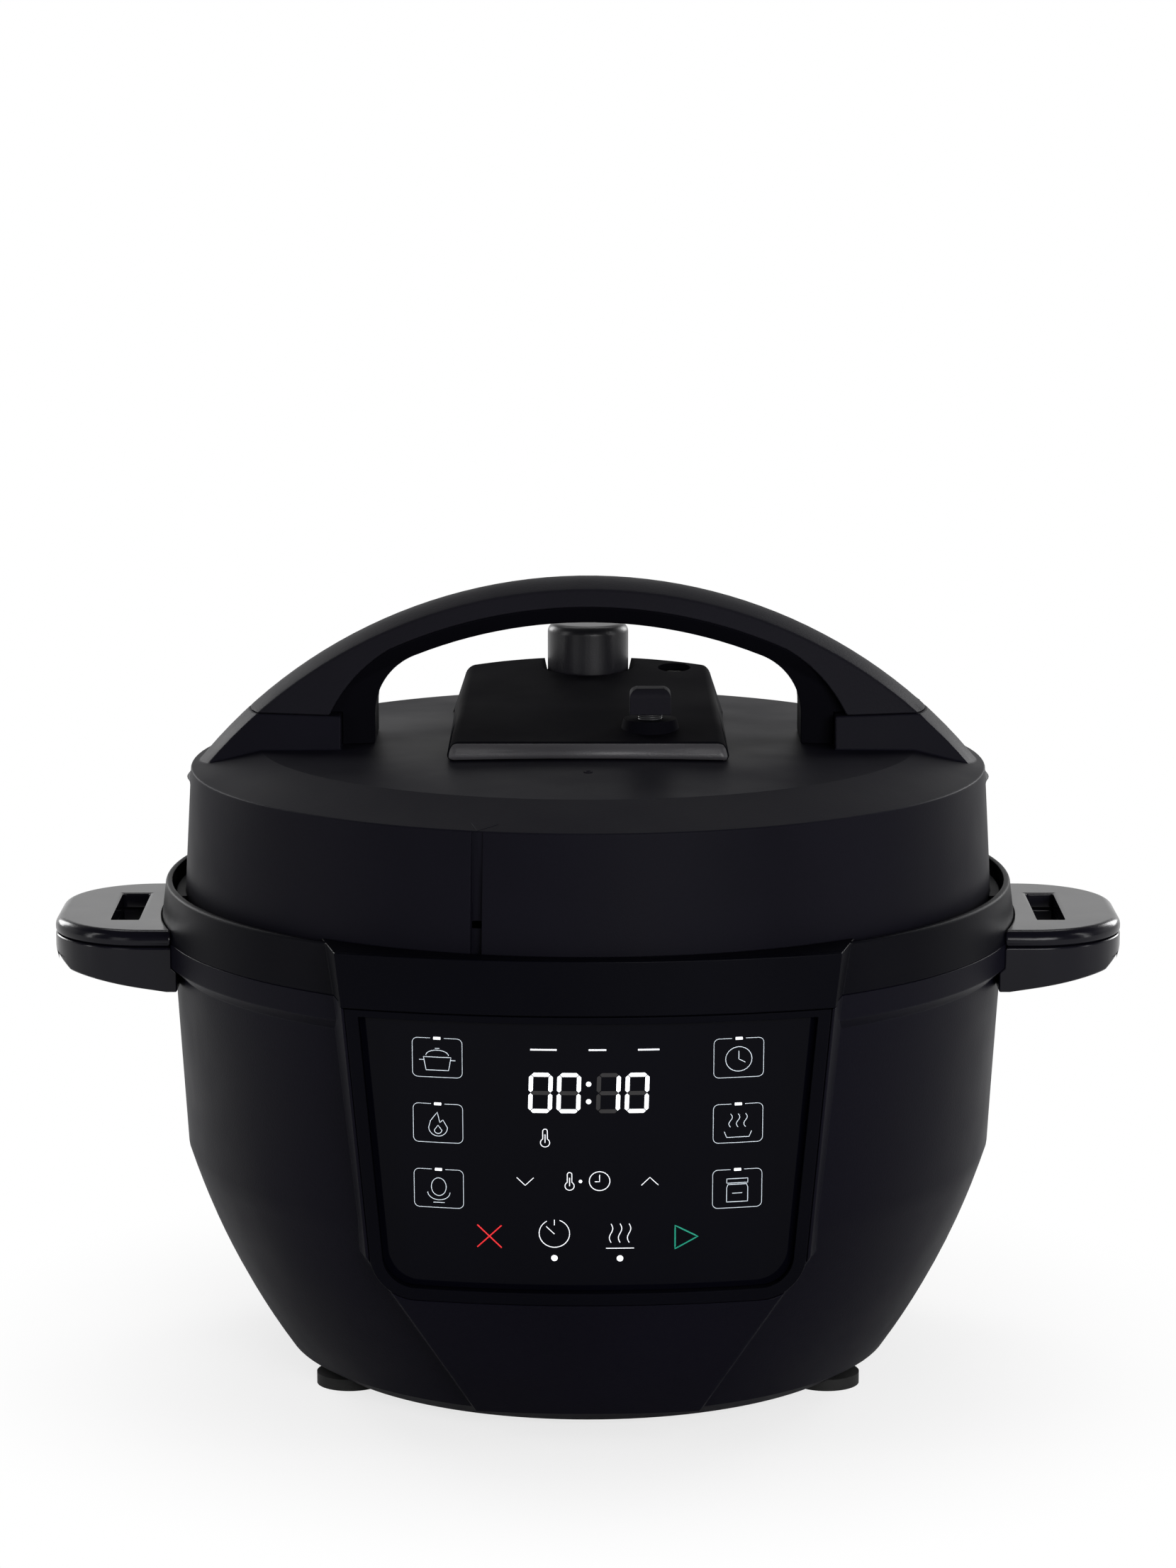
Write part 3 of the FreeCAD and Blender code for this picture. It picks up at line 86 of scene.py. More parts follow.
bpy.ops.object.select_all(action="DESELECT")
bpy.ops.object.camera_add(location=CAMERA_PLACE)
camera = bpy.context.object
camera.rotation_euler = (CAMERA_AIM - CAMERA_PLACE).to_track_quat("-Z", "Y").to_euler()
camera.data.sensor_width = SENSOR
camera.data.lens = FOCAL_PIXELS * SENSOR / PHOTO_HEIGHT
camera.data.shift_y = (AIM_ROW - PHOTO_HEIGHT / 2) / PHOTO_HEIGHT
bpy.context.scene.camera = camera
bpy.context.scene.view_settings.view_transform = "Standard"
print("camera lens", round(camera.data.lens, 1), "shift", round(camera.data.shift_y, 3))

# %% [markdown]
# A black object on white is drawn by what it reflects. Large soft lamps give long
# smooth highlights on the rounded edges: a strong one in front on the right, a weak
# one on the left, three behind for the lid and the far side, and a strip on each
# side for the handles. The floor and the wall behind are white to the camera and
# in reflections. The ceiling and the front of the studio are dark, because a black
# shell with white all round it would look grey.

# %% Studio
# Each lamp: name, place, height it faces, width, height, power.
LAMPS = (
    ("key_lamp", (0.75, -2.1, 0.70), 0.13, 1.1, 0.7, 32),
    ("fill_lamp", (-1.2, -1.7, 0.5), 0.14, 0.7, 0.9, 4),
    ("back_lamp", (0.0, 0.95, 1.6), 0.2, 1.3, 0.3, 6),
    ("back_left_lamp", (-1.3, 1.5, 0.8), 0.13, 0.6, 0.8, 16),
    ("back_right_lamp", (1.3, 1.5, 0.8), 0.13, 0.6, 0.8, 16),
    ("left_strip", (-1.1, -0.3, 0.5), 0.15, 0.10, 0.9, 3),
    ("right_strip", (1.1, -0.3, 0.5), 0.15, 0.10, 0.9, 3),
)
WHITE = (1.0, 1.0, 1.0, 1.0)
ROOM_LIGHT = 0.04
WALL_STARTS, WALL_FULL = -0.1, 0.35
CEILING_FULL, CEILING_STARTS = 0.65, 0.30
FLOOR_SIZE = 8.0
FLOOR_LIT = (0.30, 0.30, 0.30, 1.0)
FLOOR_SEEN = (0.95, 0.95, 0.95, 1.0)
SHADOW_FROM, SHADOW_TO, SHADOW_WHITE = 0.09, 0.25, 0.74
MIRRORED_SHADOW_TO = 0.40


def soft_lamp(name, place, aim, width, height, power):
    """A rectangular lamp at a place, facing a point."""
    bpy.ops.object.select_all(action="DESELECT")
    bpy.ops.object.light_add(type="AREA", location=place)
    lamp = bpy.context.object
    lamp.name = name
    lamp.rotation_euler = (Vector(aim) - Vector(place)).to_track_quat("-Z", "Y").to_euler()
    lamp.data.shape = "RECTANGLE"
    lamp.data.size = width
    lamp.data.size_y = height
    lamp.data.energy = power


def maths(tree, operation, first, second):
    """The result of one operation on two values."""
    node = tree.nodes.new("ShaderNodeMath")
    node.operation = operation
    tree.links.new(first, node.inputs[0])
    tree.links.new(second, node.inputs[1])
    return node.outputs[0]


def ramp(tree, value, start, end, low=0.0, high=1.0, kind="SMOOTHSTEP"):
    """A rise from low to high while a value goes from start to end."""
    node = tree.nodes.new("ShaderNodeMapRange")
    node.interpolation_type = kind
    node.inputs["From Min"].default_value = start
    node.inputs["From Max"].default_value = end
    node.inputs["To Min"].default_value = low
    node.inputs["To Max"].default_value = high
    tree.links.new(value, node.inputs["Value"])
    return node.outputs["Result"]


for name, place, aim_height, width, height, power in LAMPS:
    soft_lamp(name, place, (0, 0, aim_height), width, height, power)

world = bpy.data.worlds.new("white_studio")
bpy.context.scene.world = world
world.use_nodes = True
tree = world.node_tree
backdrop = tree.nodes["Background"]
backdrop.inputs["Color"].default_value = WHITE
rays = tree.nodes.new("ShaderNodeLightPath").outputs
direct = maths(tree, "MAXIMUM", rays["Is Camera Ray"], rays["Is Transmission Ray"])
direction = tree.nodes.new("ShaderNodeTexCoord")
axes = tree.nodes.new("ShaderNodeSeparateXYZ")
tree.links.new(direction.outputs["Generated"], axes.inputs["Vector"])
behind = ramp(tree, axes.outputs["Y"], WALL_STARTS, WALL_FULL)
below_ceiling = ramp(tree, axes.outputs["Z"], CEILING_FULL, CEILING_STARTS)
wall = maths(tree, "MULTIPLY", behind, below_ceiling)
mirrored = maths(tree, "MULTIPLY", rays["Is Glossy Ray"], wall)
white_share = maths(tree, "MAXIMUM", direct, mirrored)
strength = ramp(tree, white_share, 0.0, 1.0, ROOM_LIGHT, 1.0, "LINEAR")
tree.links.new(strength, backdrop.inputs["Strength"])

bpy.ops.object.select_all(action="DESELECT")
bpy.ops.mesh.primitive_plane_add(size=FLOOR_SIZE)
floor = bpy.context.object
floor.name = "floor"
paper = bpy.data.materials.new("pale_floor")
paper.use_nodes = True
tree = paper.node_tree
paper_shader = tree.nodes["Principled BSDF"]
paper_shader.inputs["Roughness"].default_value = 0.9
paper_shader.inputs["Specular IOR Level"].default_value = 0.1
white = tree.nodes.new("ShaderNodeEmission")
white.inputs["Strength"].default_value = 1.0
place = tree.nodes.new("ShaderNodeTexCoord")
distance = tree.nodes.new("ShaderNodeVectorMath")
distance.operation = "LENGTH"
tree.links.new(place.outputs["Object"], distance.inputs[0])
away = distance.outputs["Value"]
rays = tree.nodes.new("ShaderNodeLightPath").outputs
direct = maths(tree, "MAXIMUM", rays["Is Camera Ray"], rays["Is Transmission Ray"])
shown = maths(tree, "MAXIMUM", direct, rays["Is Glossy Ray"])
bounce = tree.nodes.new("ShaderNodeMix")
bounce.data_type = "RGBA"
bounce.inputs[6].default_value = FLOOR_LIT
bounce.inputs[7].default_value = FLOOR_SEEN
tree.links.new(shown, bounce.inputs[0])
tree.links.new(bounce.outputs[2], paper_shader.inputs["Base Color"])
fade = ramp(tree, away, SHADOW_FROM, SHADOW_TO, SHADOW_WHITE)
seen = maths(tree, "MULTIPLY", direct, fade)
shade = ramp(tree, away, SHADOW_FROM, MIRRORED_SHADOW_TO)
mirrored = maths(tree, "MULTIPLY", rays["Is Glossy Ray"], shade)
white_share = maths(tree, "MAXIMUM", seen, mirrored)
blend = tree.nodes.new("ShaderNodeMixShader")
tree.links.new(white_share, blend.inputs["Fac"])
tree.links.new(paper_shader.outputs["BSDF"], blend.inputs[1])
tree.links.new(white.outputs["Emission"], blend.inputs[2])
tree.links.new(blend.outputs["Shader"], tree.nodes["Material Output"].inputs["Surface"])
floor.data.materials.append(paper)
print("studio lit by", len(LAMPS), "lamps")

# %% [markdown]
# Moulded plastic is never one flat black. The mould is spark-eroded, so a satin
# face carries a fine grain that breaks up the highlight, and the gloss wanders a
# little where hands and cloths have been. Noise on Object coordinates gives both,
# at the real size of the grain, and the same recipe with other numbers makes the
# glossy handles.

# %% Plastic finishes
NOISE_LOW, NOISE_HIGH = 0.3, 0.7
BROAD_PATCH, BROAD_DETAIL = 0.045, 3.0
SHEEN_LOW, SHEEN_HIGH = 0.9, 1.12


def noise(tree, place, size, detail=2.0):
    """A noise pattern whose grains are about size metres wide."""
    pattern = tree.nodes.new("ShaderNodeTexNoise")
    pattern.inputs["Scale"].default_value = 1.0 / size
    pattern.inputs["Detail"].default_value = detail
    tree.links.new(place.outputs["Object"], pattern.inputs["Vector"])
    return pattern


def spread(tree, pattern, low, high):
    """Map a pattern's middle values to a range."""
    shift = tree.nodes.new("ShaderNodeMapRange")
    shift.inputs["From Min"].default_value = NOISE_LOW
    shift.inputs["From Max"].default_value = NOISE_HIGH
    shift.inputs["To Min"].default_value = low
    shift.inputs["To Max"].default_value = high
    tree.links.new(pattern.outputs[0], shift.inputs["Value"])
    return shift


def moulded(name, colour, rough, grain, depth, gloss=0.5, metal=0.0, shift=0.25):
    """A moulded or cast finish with a grain of its own."""
    finish = bpy.data.materials.new(name)
    finish.use_nodes = True
    tree = finish.node_tree
    shader = tree.nodes["Principled BSDF"]
    place = tree.nodes.new("ShaderNodeTexCoord")
    fine = noise(tree, place, grain)
    broad = noise(tree, place, BROAD_PATCH, BROAD_DETAIL)
    tint = tree.nodes.new("ShaderNodeMix")
    tint.data_type = "RGBA"
    tint.inputs[6].default_value = (*[c * (1 - shift) for c in colour], 1.0)
    tint.inputs[7].default_value = (*[min(1.0, c * (1 + shift)) for c in colour], 1.0)
    tree.links.new(broad.outputs[0], tint.inputs[0])
    tree.links.new(tint.outputs[2], shader.inputs["Base Color"])
    sheen = spread(tree, broad, rough * SHEEN_LOW, rough * SHEEN_HIGH)
    tree.links.new(sheen.outputs["Result"], shader.inputs["Roughness"])
    shader.inputs["Metallic"].default_value = metal
    shader.inputs["Specular IOR Level"].default_value = gloss
    bump = tree.nodes.new("ShaderNodeBump")
    bump.inputs["Strength"].default_value = 1.0
    bump.inputs["Distance"].default_value = depth
    tree.links.new(fine.outputs[0], bump.inputs["Height"])
    tree.links.new(bump.outputs["Normal"], shader.inputs["Normal"])
    return finish


BLACK = (0.0038, 0.0035, 0.0072)
satin_black = moulded(
    "satin_black_plastic", BLACK, 0.46, 0.0007, 0.00004, gloss=0.04)
lid_black = moulded(
    "lid_black_plastic", (0.0056, 0.0053, 0.0088), 0.50, 0.0006, 0.00003, gloss=0.035)
grained_black = moulded(
    "grained_black_plastic", (0.0088, 0.0084, 0.0118), 0.55, 0.0009, 0.00008, gloss=0.04)
gloss_black = moulded(
    "gloss_black_plastic", (0.0050, 0.0047, 0.0080), 0.20, 0.012, 0.00003, gloss=0.16)
header_black = moulded(
    "header_black_plastic", (0.0018, 0.0018, 0.0036), 0.4, 0.0006, 0.00002, gloss=0.03)
deep_black = moulded(
    "deck_black_plastic", (0.0026, 0.0025, 0.0040), 0.68, 0.0006, 0.00003, gloss=0.015)
valve_black = moulded(
    "valve_cap_plastic", (0.0075, 0.0072, 0.0098), 0.34, 0.0006, 0.00003, gloss=0.30)
foot_rubber = moulded(
    "foot_rubber", (0.01, 0.01, 0.01), 0.7, 0.0008, 0.00006, gloss=0.3)
steel = moulded(
    "drawn_steel", (0.62, 0.62, 0.6), 0.25, 0.0004, 0.00002, metal=1.0, shift=0.08)
cast_alloy = moulded(
    "cast_alloy", (0.68, 0.68, 0.69), 0.4, 0.0012, 0.0001, metal=1.0, shift=0.08)
silicone = moulded(
    "seal_silicone", (0.72, 0.73, 0.72), 0.5, 0.001, 0.00003, shift=0.05)
board_green = moulded(
    "board_green", (0.02, 0.16, 0.06), 0.4, 0.0015, 0.00004)
component_black = moulded(
    "component_black", (0.02, 0.02, 0.022), 0.45, 0.0006, 0.00004)
contact_brass = moulded(
    "contact_brass", (0.75, 0.58, 0.28), 0.25, 0.0005, 0.00002, metal=1.0, shift=0.08)
print("finishes made", len(bpy.data.materials))

# %% [markdown]
# The shells come from the solid model, so their sizes are right, but that mesh is
# loose flat triangles. Each one is copied, its doubled corners are merged, and it
# is shaded smooth except across real edges. Shaping the shells again by hand would
# only risk their fit, so the work goes into their edges and finish.

# %% Dressed shells
SMOOTH = {"lid_cover": 9, "outer_housing": 40}
SMOOTH_BELOW = 28
EDGE_STEPS = 3
ROUND_ABOVE = 0.03
ACROSS_BELOW = 0.06
EDGE_ABOVE = math.radians(24)
MERGE_BELOW = 0.00001


def even_shading(mesh, smooth_below):
    """Shade turned walls as turned, and let large faces set the shading at their edges."""
    around = [[] for _ in mesh.vertices]
    own_normals = []
    for face in mesh.polygons:
        middle, normal = face.center, face.normal
        radius = math.hypot(middle.x, middle.y)
        turned = False
        if radius > ROUND_ABOVE:
            outward = (normal.x * middle.x + normal.y * middle.y) / radius
            across = (normal.y * middle.x - normal.x * middle.y) / radius
            turned = abs(across) < ACROSS_BELOW
        for index in face.vertices:
            own = normal.copy()
            if turned:
                place = mesh.vertices[index].co
                reach = max(math.hypot(place.x, place.y), MERGE_BELOW)
                own = Vector((outward * place.x / reach, outward * place.y / reach, normal.z))
            own_normals.append(own)
            around[index].append((own, face.area))
    limit = math.cos(smooth_below)
    normals = []
    loops = iter(own_normals)
    for face in mesh.polygons:
        for index in face.vertices:
            own = next(loops)
            total = Vector((0, 0, 0))
            for other, area in around[index]:
                if other.dot(own) > limit:
                    total += other * area
            normals.append(total.normalized() if total.length > 0 else face.normal)
    mesh.normals_split_custom_set(normals)


def dressed(name, finish, edge=0.0):
    """A smooth copy of a solid, with its edges rounded by some millimetres, in its finish."""
    piece = bpy.data.objects.new(name + "_skin", nodes[name].data.copy())
    bpy.context.collection.objects.link(piece)
    bpy.ops.object.select_all(action="DESELECT")
    piece.select_set(True)
    bpy.context.view_layer.objects.active = piece
    bpy.ops.object.mode_set(mode="EDIT")
    bpy.ops.mesh.select_all(action="SELECT")
    bpy.ops.mesh.remove_doubles(threshold=MERGE_BELOW)
    bpy.ops.object.mode_set(mode="OBJECT")
    bpy.ops.mesh.customdata_custom_splitnormals_clear()
    if edge:
        bpy.ops.object.modifier_add(type="BEVEL")
        rounding = piece.modifiers[-1]
        rounding.width = edge * MM
        rounding.segments = EDGE_STEPS
        rounding.limit_method = "ANGLE"
        rounding.angle_limit = EDGE_ABOVE
        rounding.use_clamp_overlap = False
        bpy.ops.object.modifier_apply(modifier=rounding.name)
    bpy.ops.object.shade_smooth()
    even_shading(piece.data, math.radians(SMOOTH.get(name, SMOOTH_BELOW)))
    piece.data.materials.clear()
    piece.data.materials.append(finish)
    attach(piece, nodes[name]["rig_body"])
    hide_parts(name)
    return piece


FINISHES = (
    (satin_black, "outer_housing bottom_cover power_inlet"),
    (lid_black, "lid_cover"),
    (grained_black, "handle_arch quick_release_button"),
    (gloss_black, "right_handle_cover left_handle_cover right_handle_grip left_handle_grip"),
    (header_black, "upper_collar console_header panel_bezel"),
    (deep_black, "handle_underside button_collar release_lever"),
    (valve_black, "steam_valve"),
    (foot_rubber, "feet"),
    (steel, "inner_pot lid_pan heat_shield handle_screws bottom_screws sensor_bracket "
            "heater_posts heating_element handle_bolts steam_pipe pipe_nut "
            "anti_block_shield lever_pin ring_rack float_valve thermal_fuse"),
    (cast_alloy, "heating_plate locking_flange thermal_sensor"),
    (silicone, "sealing_ring float_cap"),
    (board_green, "control_board power_board"),
    (component_black, "display_module power_relay filter_capacitor pressure_switch "
                      "board_pillars board_standoffs lid_posts"),
    (contact_brass, "inlet_pins"),
)
EDGES = {
    "upper_collar": 0.5, "console_header": 0.5, "lid_cover": 0.5, "handle_arch": 0.8,
    "quick_release_button": 0.4, "handle_underside": 0.6, "steam_valve": 0.5,
    "panel_bezel": 0.4, "right_handle_cover": 1.2, "left_handle_cover": 1.2,
    "right_handle_grip": 0.8, "left_handle_grip": 0.8, "outer_housing": 0.4,
}
count = 0
for finish, names in FINISHES:
    for name in names.split():
        dressed(name, finish, EDGES.get(name, 0.0))
        count += 1
print("dressed", count, "solids")

# %% [markdown]
# The valve deck is a low block; its front lip carries a painted highlight.
# Its front and side edges are rounded more than the holes in it, so only those
# edges are given a weight, and the rounding follows the weight.

# %% Valve deck
DECK_FOOT, DECK_HALF, DECK_FRONT, DECK_BACK = 0.2125, 0.0490, -0.0536, 0.0530
DECK_DRAFT = math.tan(math.radians(18))
ON_EDGE = 0.0003
HIGHLIGHT_FACING = -0.5
FLAT_BELOW = math.radians(0.5)
DECK_ROUND, DECK_STEPS = 0.0026, 5
HIGHLIGHT_LIP_DEPTH = 0.006


def on_deck_side(place):
    """Whether a point lies on the deck's front or side walls."""
    inset = (place.z - DECK_FOOT) * DECK_DRAFT
    side = abs(abs(place.x) - DECK_HALF + inset) < ON_EDGE and place.y < DECK_BACK
    return side or abs(place.y - DECK_FRONT - inset) < ON_EDGE


# A lighter copy of the deck's black for its front lip: a painted highlight.
painted_highlight_lip = moulded(
    "painted_highlight_lip_plastic", (0.048, 0.0465, 0.051), 0.4, 0.0007, 0.00008, gloss=0.3)
deck = dressed("valve_deck", deep_black)
bpy.ops.object.select_all(action="DESELECT")
deck.select_set(True)
bpy.context.view_layer.objects.active = deck
bpy.ops.object.mode_set(mode="EDIT")
bpy.ops.mesh.select_all(action="SELECT")
bpy.ops.mesh.dissolve_limited(angle_limit=FLAT_BELOW)
bpy.ops.object.mode_set(mode="OBJECT")
faces_at = {}
for face in deck.data.polygons:
    for key in face.edge_keys:
        faces_at.setdefault(key, []).append(face.normal.copy())
weights = deck.data.attributes.new("bevel_weight_edge", "FLOAT", "EDGE")
count = 0
for edge in deck.data.edges:
    normals = faces_at.get(edge.key, [])
    ends = [deck.data.vertices[index].co for index in edge.vertices]
    sharp = len(normals) == 2 and normals[0].angle(normals[1]) > EDGE_ABOVE
    if sharp and all(map(on_deck_side, ends)):
        weights.data[edge.index].value = 1.0
        count += 1
bpy.ops.object.modifier_add(type="BEVEL")
rounding = deck.modifiers[-1]
rounding.limit_method = "WEIGHT"
rounding.width = DECK_ROUND
rounding.segments = DECK_STEPS
rounding.use_clamp_overlap = False
bpy.ops.object.modifier_apply(modifier=rounding.name)
even_shading(deck.data, math.radians(SMOOTH_BELOW))
deck.data.materials.append(painted_highlight_lip)
# The lip's front faces take the lighter black: the painted highlight.
for face in deck.data.polygons:
    if face.normal.y < HIGHLIGHT_FACING and face.center.y < DECK_FRONT + HIGHLIGHT_LIP_DEPTH:
        face.material_index = 1
print("deck edges rounded", count)

# %% [markdown]
# The touch panel is one pane of black glass. It has a hard clear surface, so it
# is much smoother than the plastic, with only a faint ripple and a few smears
# that show where the lamps are mirrored in it.

# %% Touch glass
pane = moulded(
    "touch_pane", (0.0017, 0.0017, 0.0040), 0.09, 0.03, 0.00002, gloss=0.05)
dressed("touch_glass", pane)

# %% [markdown]
# The symbols are printed behind the glass and lit by small lamps. They could be a
# texture, but thin raised strokes stay sharp at any size and travel with the
# model. Each stroke is a chain of points laid on the pane: a point is given by how
# far it lies to the right and how far below the pane's top line.

# %% Laying points on the glass
CONSOLE_AXIS = 0.1035
FACE_RADIUS = 0.2459
FACE_TOP = 0.152
FACE_SLOPE = math.tan(math.radians(8.6))
PANE_LINE = 0.150
PANE_LEAN = math.cos(math.radians(9.7))
PRINT_LIFT = 0.00005
PRINT_GRAIN = 0.004
PRINT_DIM = 0.88


def on_glass(right, drop, lift=PRINT_LIFT):
    """A point on the pane, from millimetres right of centre and below its top line."""
    z = PANE_LINE - drop * MM * PANE_LEAN
    x = right * MM
    radius = FACE_RADIUS - (FACE_TOP - z) * FACE_SLOPE + lift
    return Vector((x, CONSOLE_AXIS - math.sqrt(radius * radius - x * x), z))


def lit(name, colour, power):
    """A printed symbol with a lamp behind it, a little uneven as such prints are."""
    finish = bpy.data.materials.new(name)
    finish.use_nodes = True
    tree = finish.node_tree
    shader = tree.nodes["Principled BSDF"]
    shader.inputs["Base Color"].default_value = (*colour, 1.0)
    shader.inputs["Roughness"].default_value = 0.5
    shader.inputs["Emission Color"].default_value = (*colour, 1.0)
    place = tree.nodes.new("ShaderNodeTexCoord")
    glow = spread(tree, noise(tree, place, PRINT_GRAIN), power * PRINT_DIM, power)
    tree.links.new(glow.outputs["Result"], shader.inputs["Emission Strength"])
    return finish


white_print = lit("white_print", (0.80, 0.82, 0.86), 0.75)
digit_light = lit("digit_light", (0.95, 0.97, 1.0), 1.0)
frame_print = lit("frame_print", (0.62, 0.68, 0.74), 0.6)
unlit_digit = lit("unlit_digit", (0.006, 0.005, 0.006), 0.3)
red_print = lit("red_print", (0.62, 0.015, 0.02), 0.75)
green_print = lit("green_print", (0.005, 0.20, 0.13), 0.75)
print("pane centre at", [round(c, 4) for c in on_glass(0, 48)])

# %% [markdown]
# A line on the panel is a chain of points. The pane is curved, so a long straight
# line would cut through it: the chain is first given more points, then laid on the
# pane and turned into a thin round wire of the line's width. The same wire serves
# for marks on the lid and for the springs.

# %% Drawing strokes
STEP = 1.2


def dense(points, closed):
    """The same chain with points no further apart than a step, so it bends with the pane."""
    chain = list(points) + ([points[0]] if closed else [])
    result = []
    for (x0, y0), (x1, y1) in zip(chain, chain[1:]):
        count = max(1, math.ceil(math.hypot(x1 - x0, y1 - y0) / STEP))
        for k in range(count):
            result.append((x0 + (x1 - x0) * k / count, y0 + (y1 - y0) * k / count))
    return result if closed else result + [chain[-1]]


def arc(x, y, radius, start, end, tall=1.0, count=16):
    """Points on a circle or an upright ellipse; angles in degrees, 0 to the right, 90 up."""
    points = []
    for k in range(count + 1):
        angle = math.radians(start + (end - start) * k / count)
        points.append((x + radius * math.cos(angle), y - radius * tall * math.sin(angle)))
    return points


def lay_strokes(name, chains, width, finish, body):
    """Lay chains of points as thin rounded lines and make them one mesh."""
    line = bpy.data.curves.new(name, "CURVE")
    line.dimensions = "3D"
    line.bevel_depth = width * MM / 2
    line.bevel_resolution = 1
    line.use_fill_caps = True
    for chain, closed in chains:
        spline = line.splines.new("POLY")
        spline.points.add(len(chain) - 1)
        spline.use_cyclic_u = closed
        for point, place in zip(spline.points, chain):
            point.co = (*place, 1.0)
    piece = bpy.data.objects.new(name, line)
    bpy.context.collection.objects.link(piece)
    bpy.ops.object.select_all(action="DESELECT")
    piece.select_set(True)
    bpy.context.view_layer.objects.active = piece
    bpy.ops.object.convert(target="MESH")
    piece = bpy.context.object
    piece.data.materials.clear()
    piece.data.materials.append(finish)
    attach(piece, body)
    return piece


def print_strokes(name, strokes, width, finish):
    """Lay flat strokes on the pane."""
    chains = []
    for points, closed in strokes:
        chains.append(([on_glass(x, y) for x, y in dense(points, closed)], closed))
    piece = lay_strokes(name, chains, width, finish, "base")
    return piece


def shifted(points, x, y):
    return [(px + x, py + y) for px, py in points]


print("a circle takes", len(dense(arc(0, 0, 5, 0, 360), True)), "points")

# %% [markdown]
# Six keys stand in two columns. Each is a rounded frame with a small lamp bar in a
# gap at its top, and a plain pictogram of its own inside. One function draws the
# frame, and a short list of strokes draws each pictogram about its middle.

# %% Keys
KEY_WIDE, KEY_TALL, KEY_CORNER, KEY_GAP = 15.9, 13.4, 1.7, 2.2
KEY_COLUMNS = (-47.9, 47.9)
KEY_ROWS = (13.8, 36.4, 59.2)
LAMP_HALF = 1.1
PICTURE_DROP = 0.4
WISP_SWING, WISP_STEPS = 0.55, 12


def key_frame(x, y):
    """An open rounded frame round a key's middle."""
    w, t, c = KEY_WIDE / 2, KEY_TALL / 2, KEY_CORNER
    points = [(KEY_GAP, -t)]
    points += arc(w - c, c - t, c, 90, 0, count=5)
    points += arc(w - c, t - c, c, 0, -90, count=5)
    points += arc(c - w, t - c, c, -90, -180, count=5)
    points += arc(c - w, c - t, c, 180, 90, count=5)
    points.append((-KEY_GAP, -t))
    return (shifted(points, x, y), False)


def wave(x, y, tall):
    """A rising wisp of steam."""
    points = []
    for k in range(WISP_STEPS + 1):
        along = k / WISP_STEPS
        swing = WISP_SWING * math.sin(along * 2 * math.pi)
        points.append((x + swing, y - tall / 2 + tall * k / WISP_STEPS))
    return points


pan = [
    ([(-4.4, -0.6), (-3.6, 3.9), (3.6, 3.9), (4.4, -0.6)], True),
    ([(-5.8, 0.4), (-4.3, 0.4)], False),
    ([(4.3, 0.4), (5.8, 0.4)], False),
    (arc(0, -1.2, 3.6, 0, 180, 0.5), False),
    ([(-0.7, -3.6), (0.7, -3.6)], False),
]
flame = [
    (arc(0, 1.1, 3.0, -180, 0, 1.0) + [(1.6, -1.6), (0.6, -0.6), (-0.2, -4.2), (-2.4, -1.2)], True),
    (arc(0, 2.0, 1.2, -180, 0, 1.0) + [(0.0, 0.3)], True),
]
egg_cup = [
    (arc(0, -1.0, 2.4, 0, 360, 1.3, 24), True),
    (arc(0, 0.9, 3.6, -180, 0, 0.75), False),
    ([(-1.8, 4.5), (1.8, 4.5)], False),
]
dial = [
    (arc(0, 0, 4.2, 0, 360, 1.0, 28), True),
    ([(0, -2.8), (0, 0), (2.1, 1.2)], False),
]
steam = [
    (wave(-2.4, -1.4, 4.6), False),
    (wave(0, -1.4, 4.6), False),
    (wave(2.4, -1.4, 4.6), False),
    ([(-4.4, 2.4), (-3.6, 4.4), (3.6, 4.4), (4.4, 2.4)], False),
]
jar = [
    ([(-3.0, -1.9), (-3.4, -0.8), (-3.4, 4.2), (3.4, 4.2), (3.4, -0.8), (3.0, -1.9)], True),
    ([(-3.4, -3.9), (3.4, -3.9), (3.4, -2.4), (-3.4, -2.4)], True),
    ([(-1.6, 1.2), (1.6, 1.2)], False),
]
frames, bars, pictures = [], [], []
for column, symbols in zip(KEY_COLUMNS, ((pan, flame, egg_cup), (dial, steam, jar))):
    for row, symbol in zip(KEY_ROWS, symbols):
        frames.append(key_frame(column, row))
        top = row - KEY_TALL / 2
        bars.append(([(column - LAMP_HALF, top), (column + LAMP_HALF, top)], False))
        for points, closed in symbol:
            pictures.append((shifted(points, column, row + PICTURE_DROP), closed))
print_strokes("key_frames", frames, 0.19, frame_print)
print_strokes("key_pictograms", pictures, 0.24, frame_print)
print_strokes("key_lamps", bars, 1.0, digit_light)
print("keys drawn", len(frames))

# %% [markdown]
# The clock has four digits of seven bars each and a colon. A bar is a flat
# six-sided plate with pointed ends, so that neighbours meet on the slant. Bars that
# are off are kept as a faint ghost, as they show on the real display.

# %% Clock digits
DIGIT_TOP, DIGIT_TALL, DIGIT_WIDE, BAR = 17.9, 13.8, 7.6, 1.35
DIGIT_LEFT = (-18.9, -9.9, 2.7, 11.8)
SHOWN = ("abcdef", "abcdef", "bc", "abcdef")
BAR_GAP = 0.18
SLANT = 0.03
PLATE_LIFT, PLATE_THICK = 0.00012, 0.00015
COLON_X, COLON_ROWS, COLON_RADIUS = 0.2, (21.7, 27.7), 0.85
DOT_END, DOT_STEPS = 342, 19


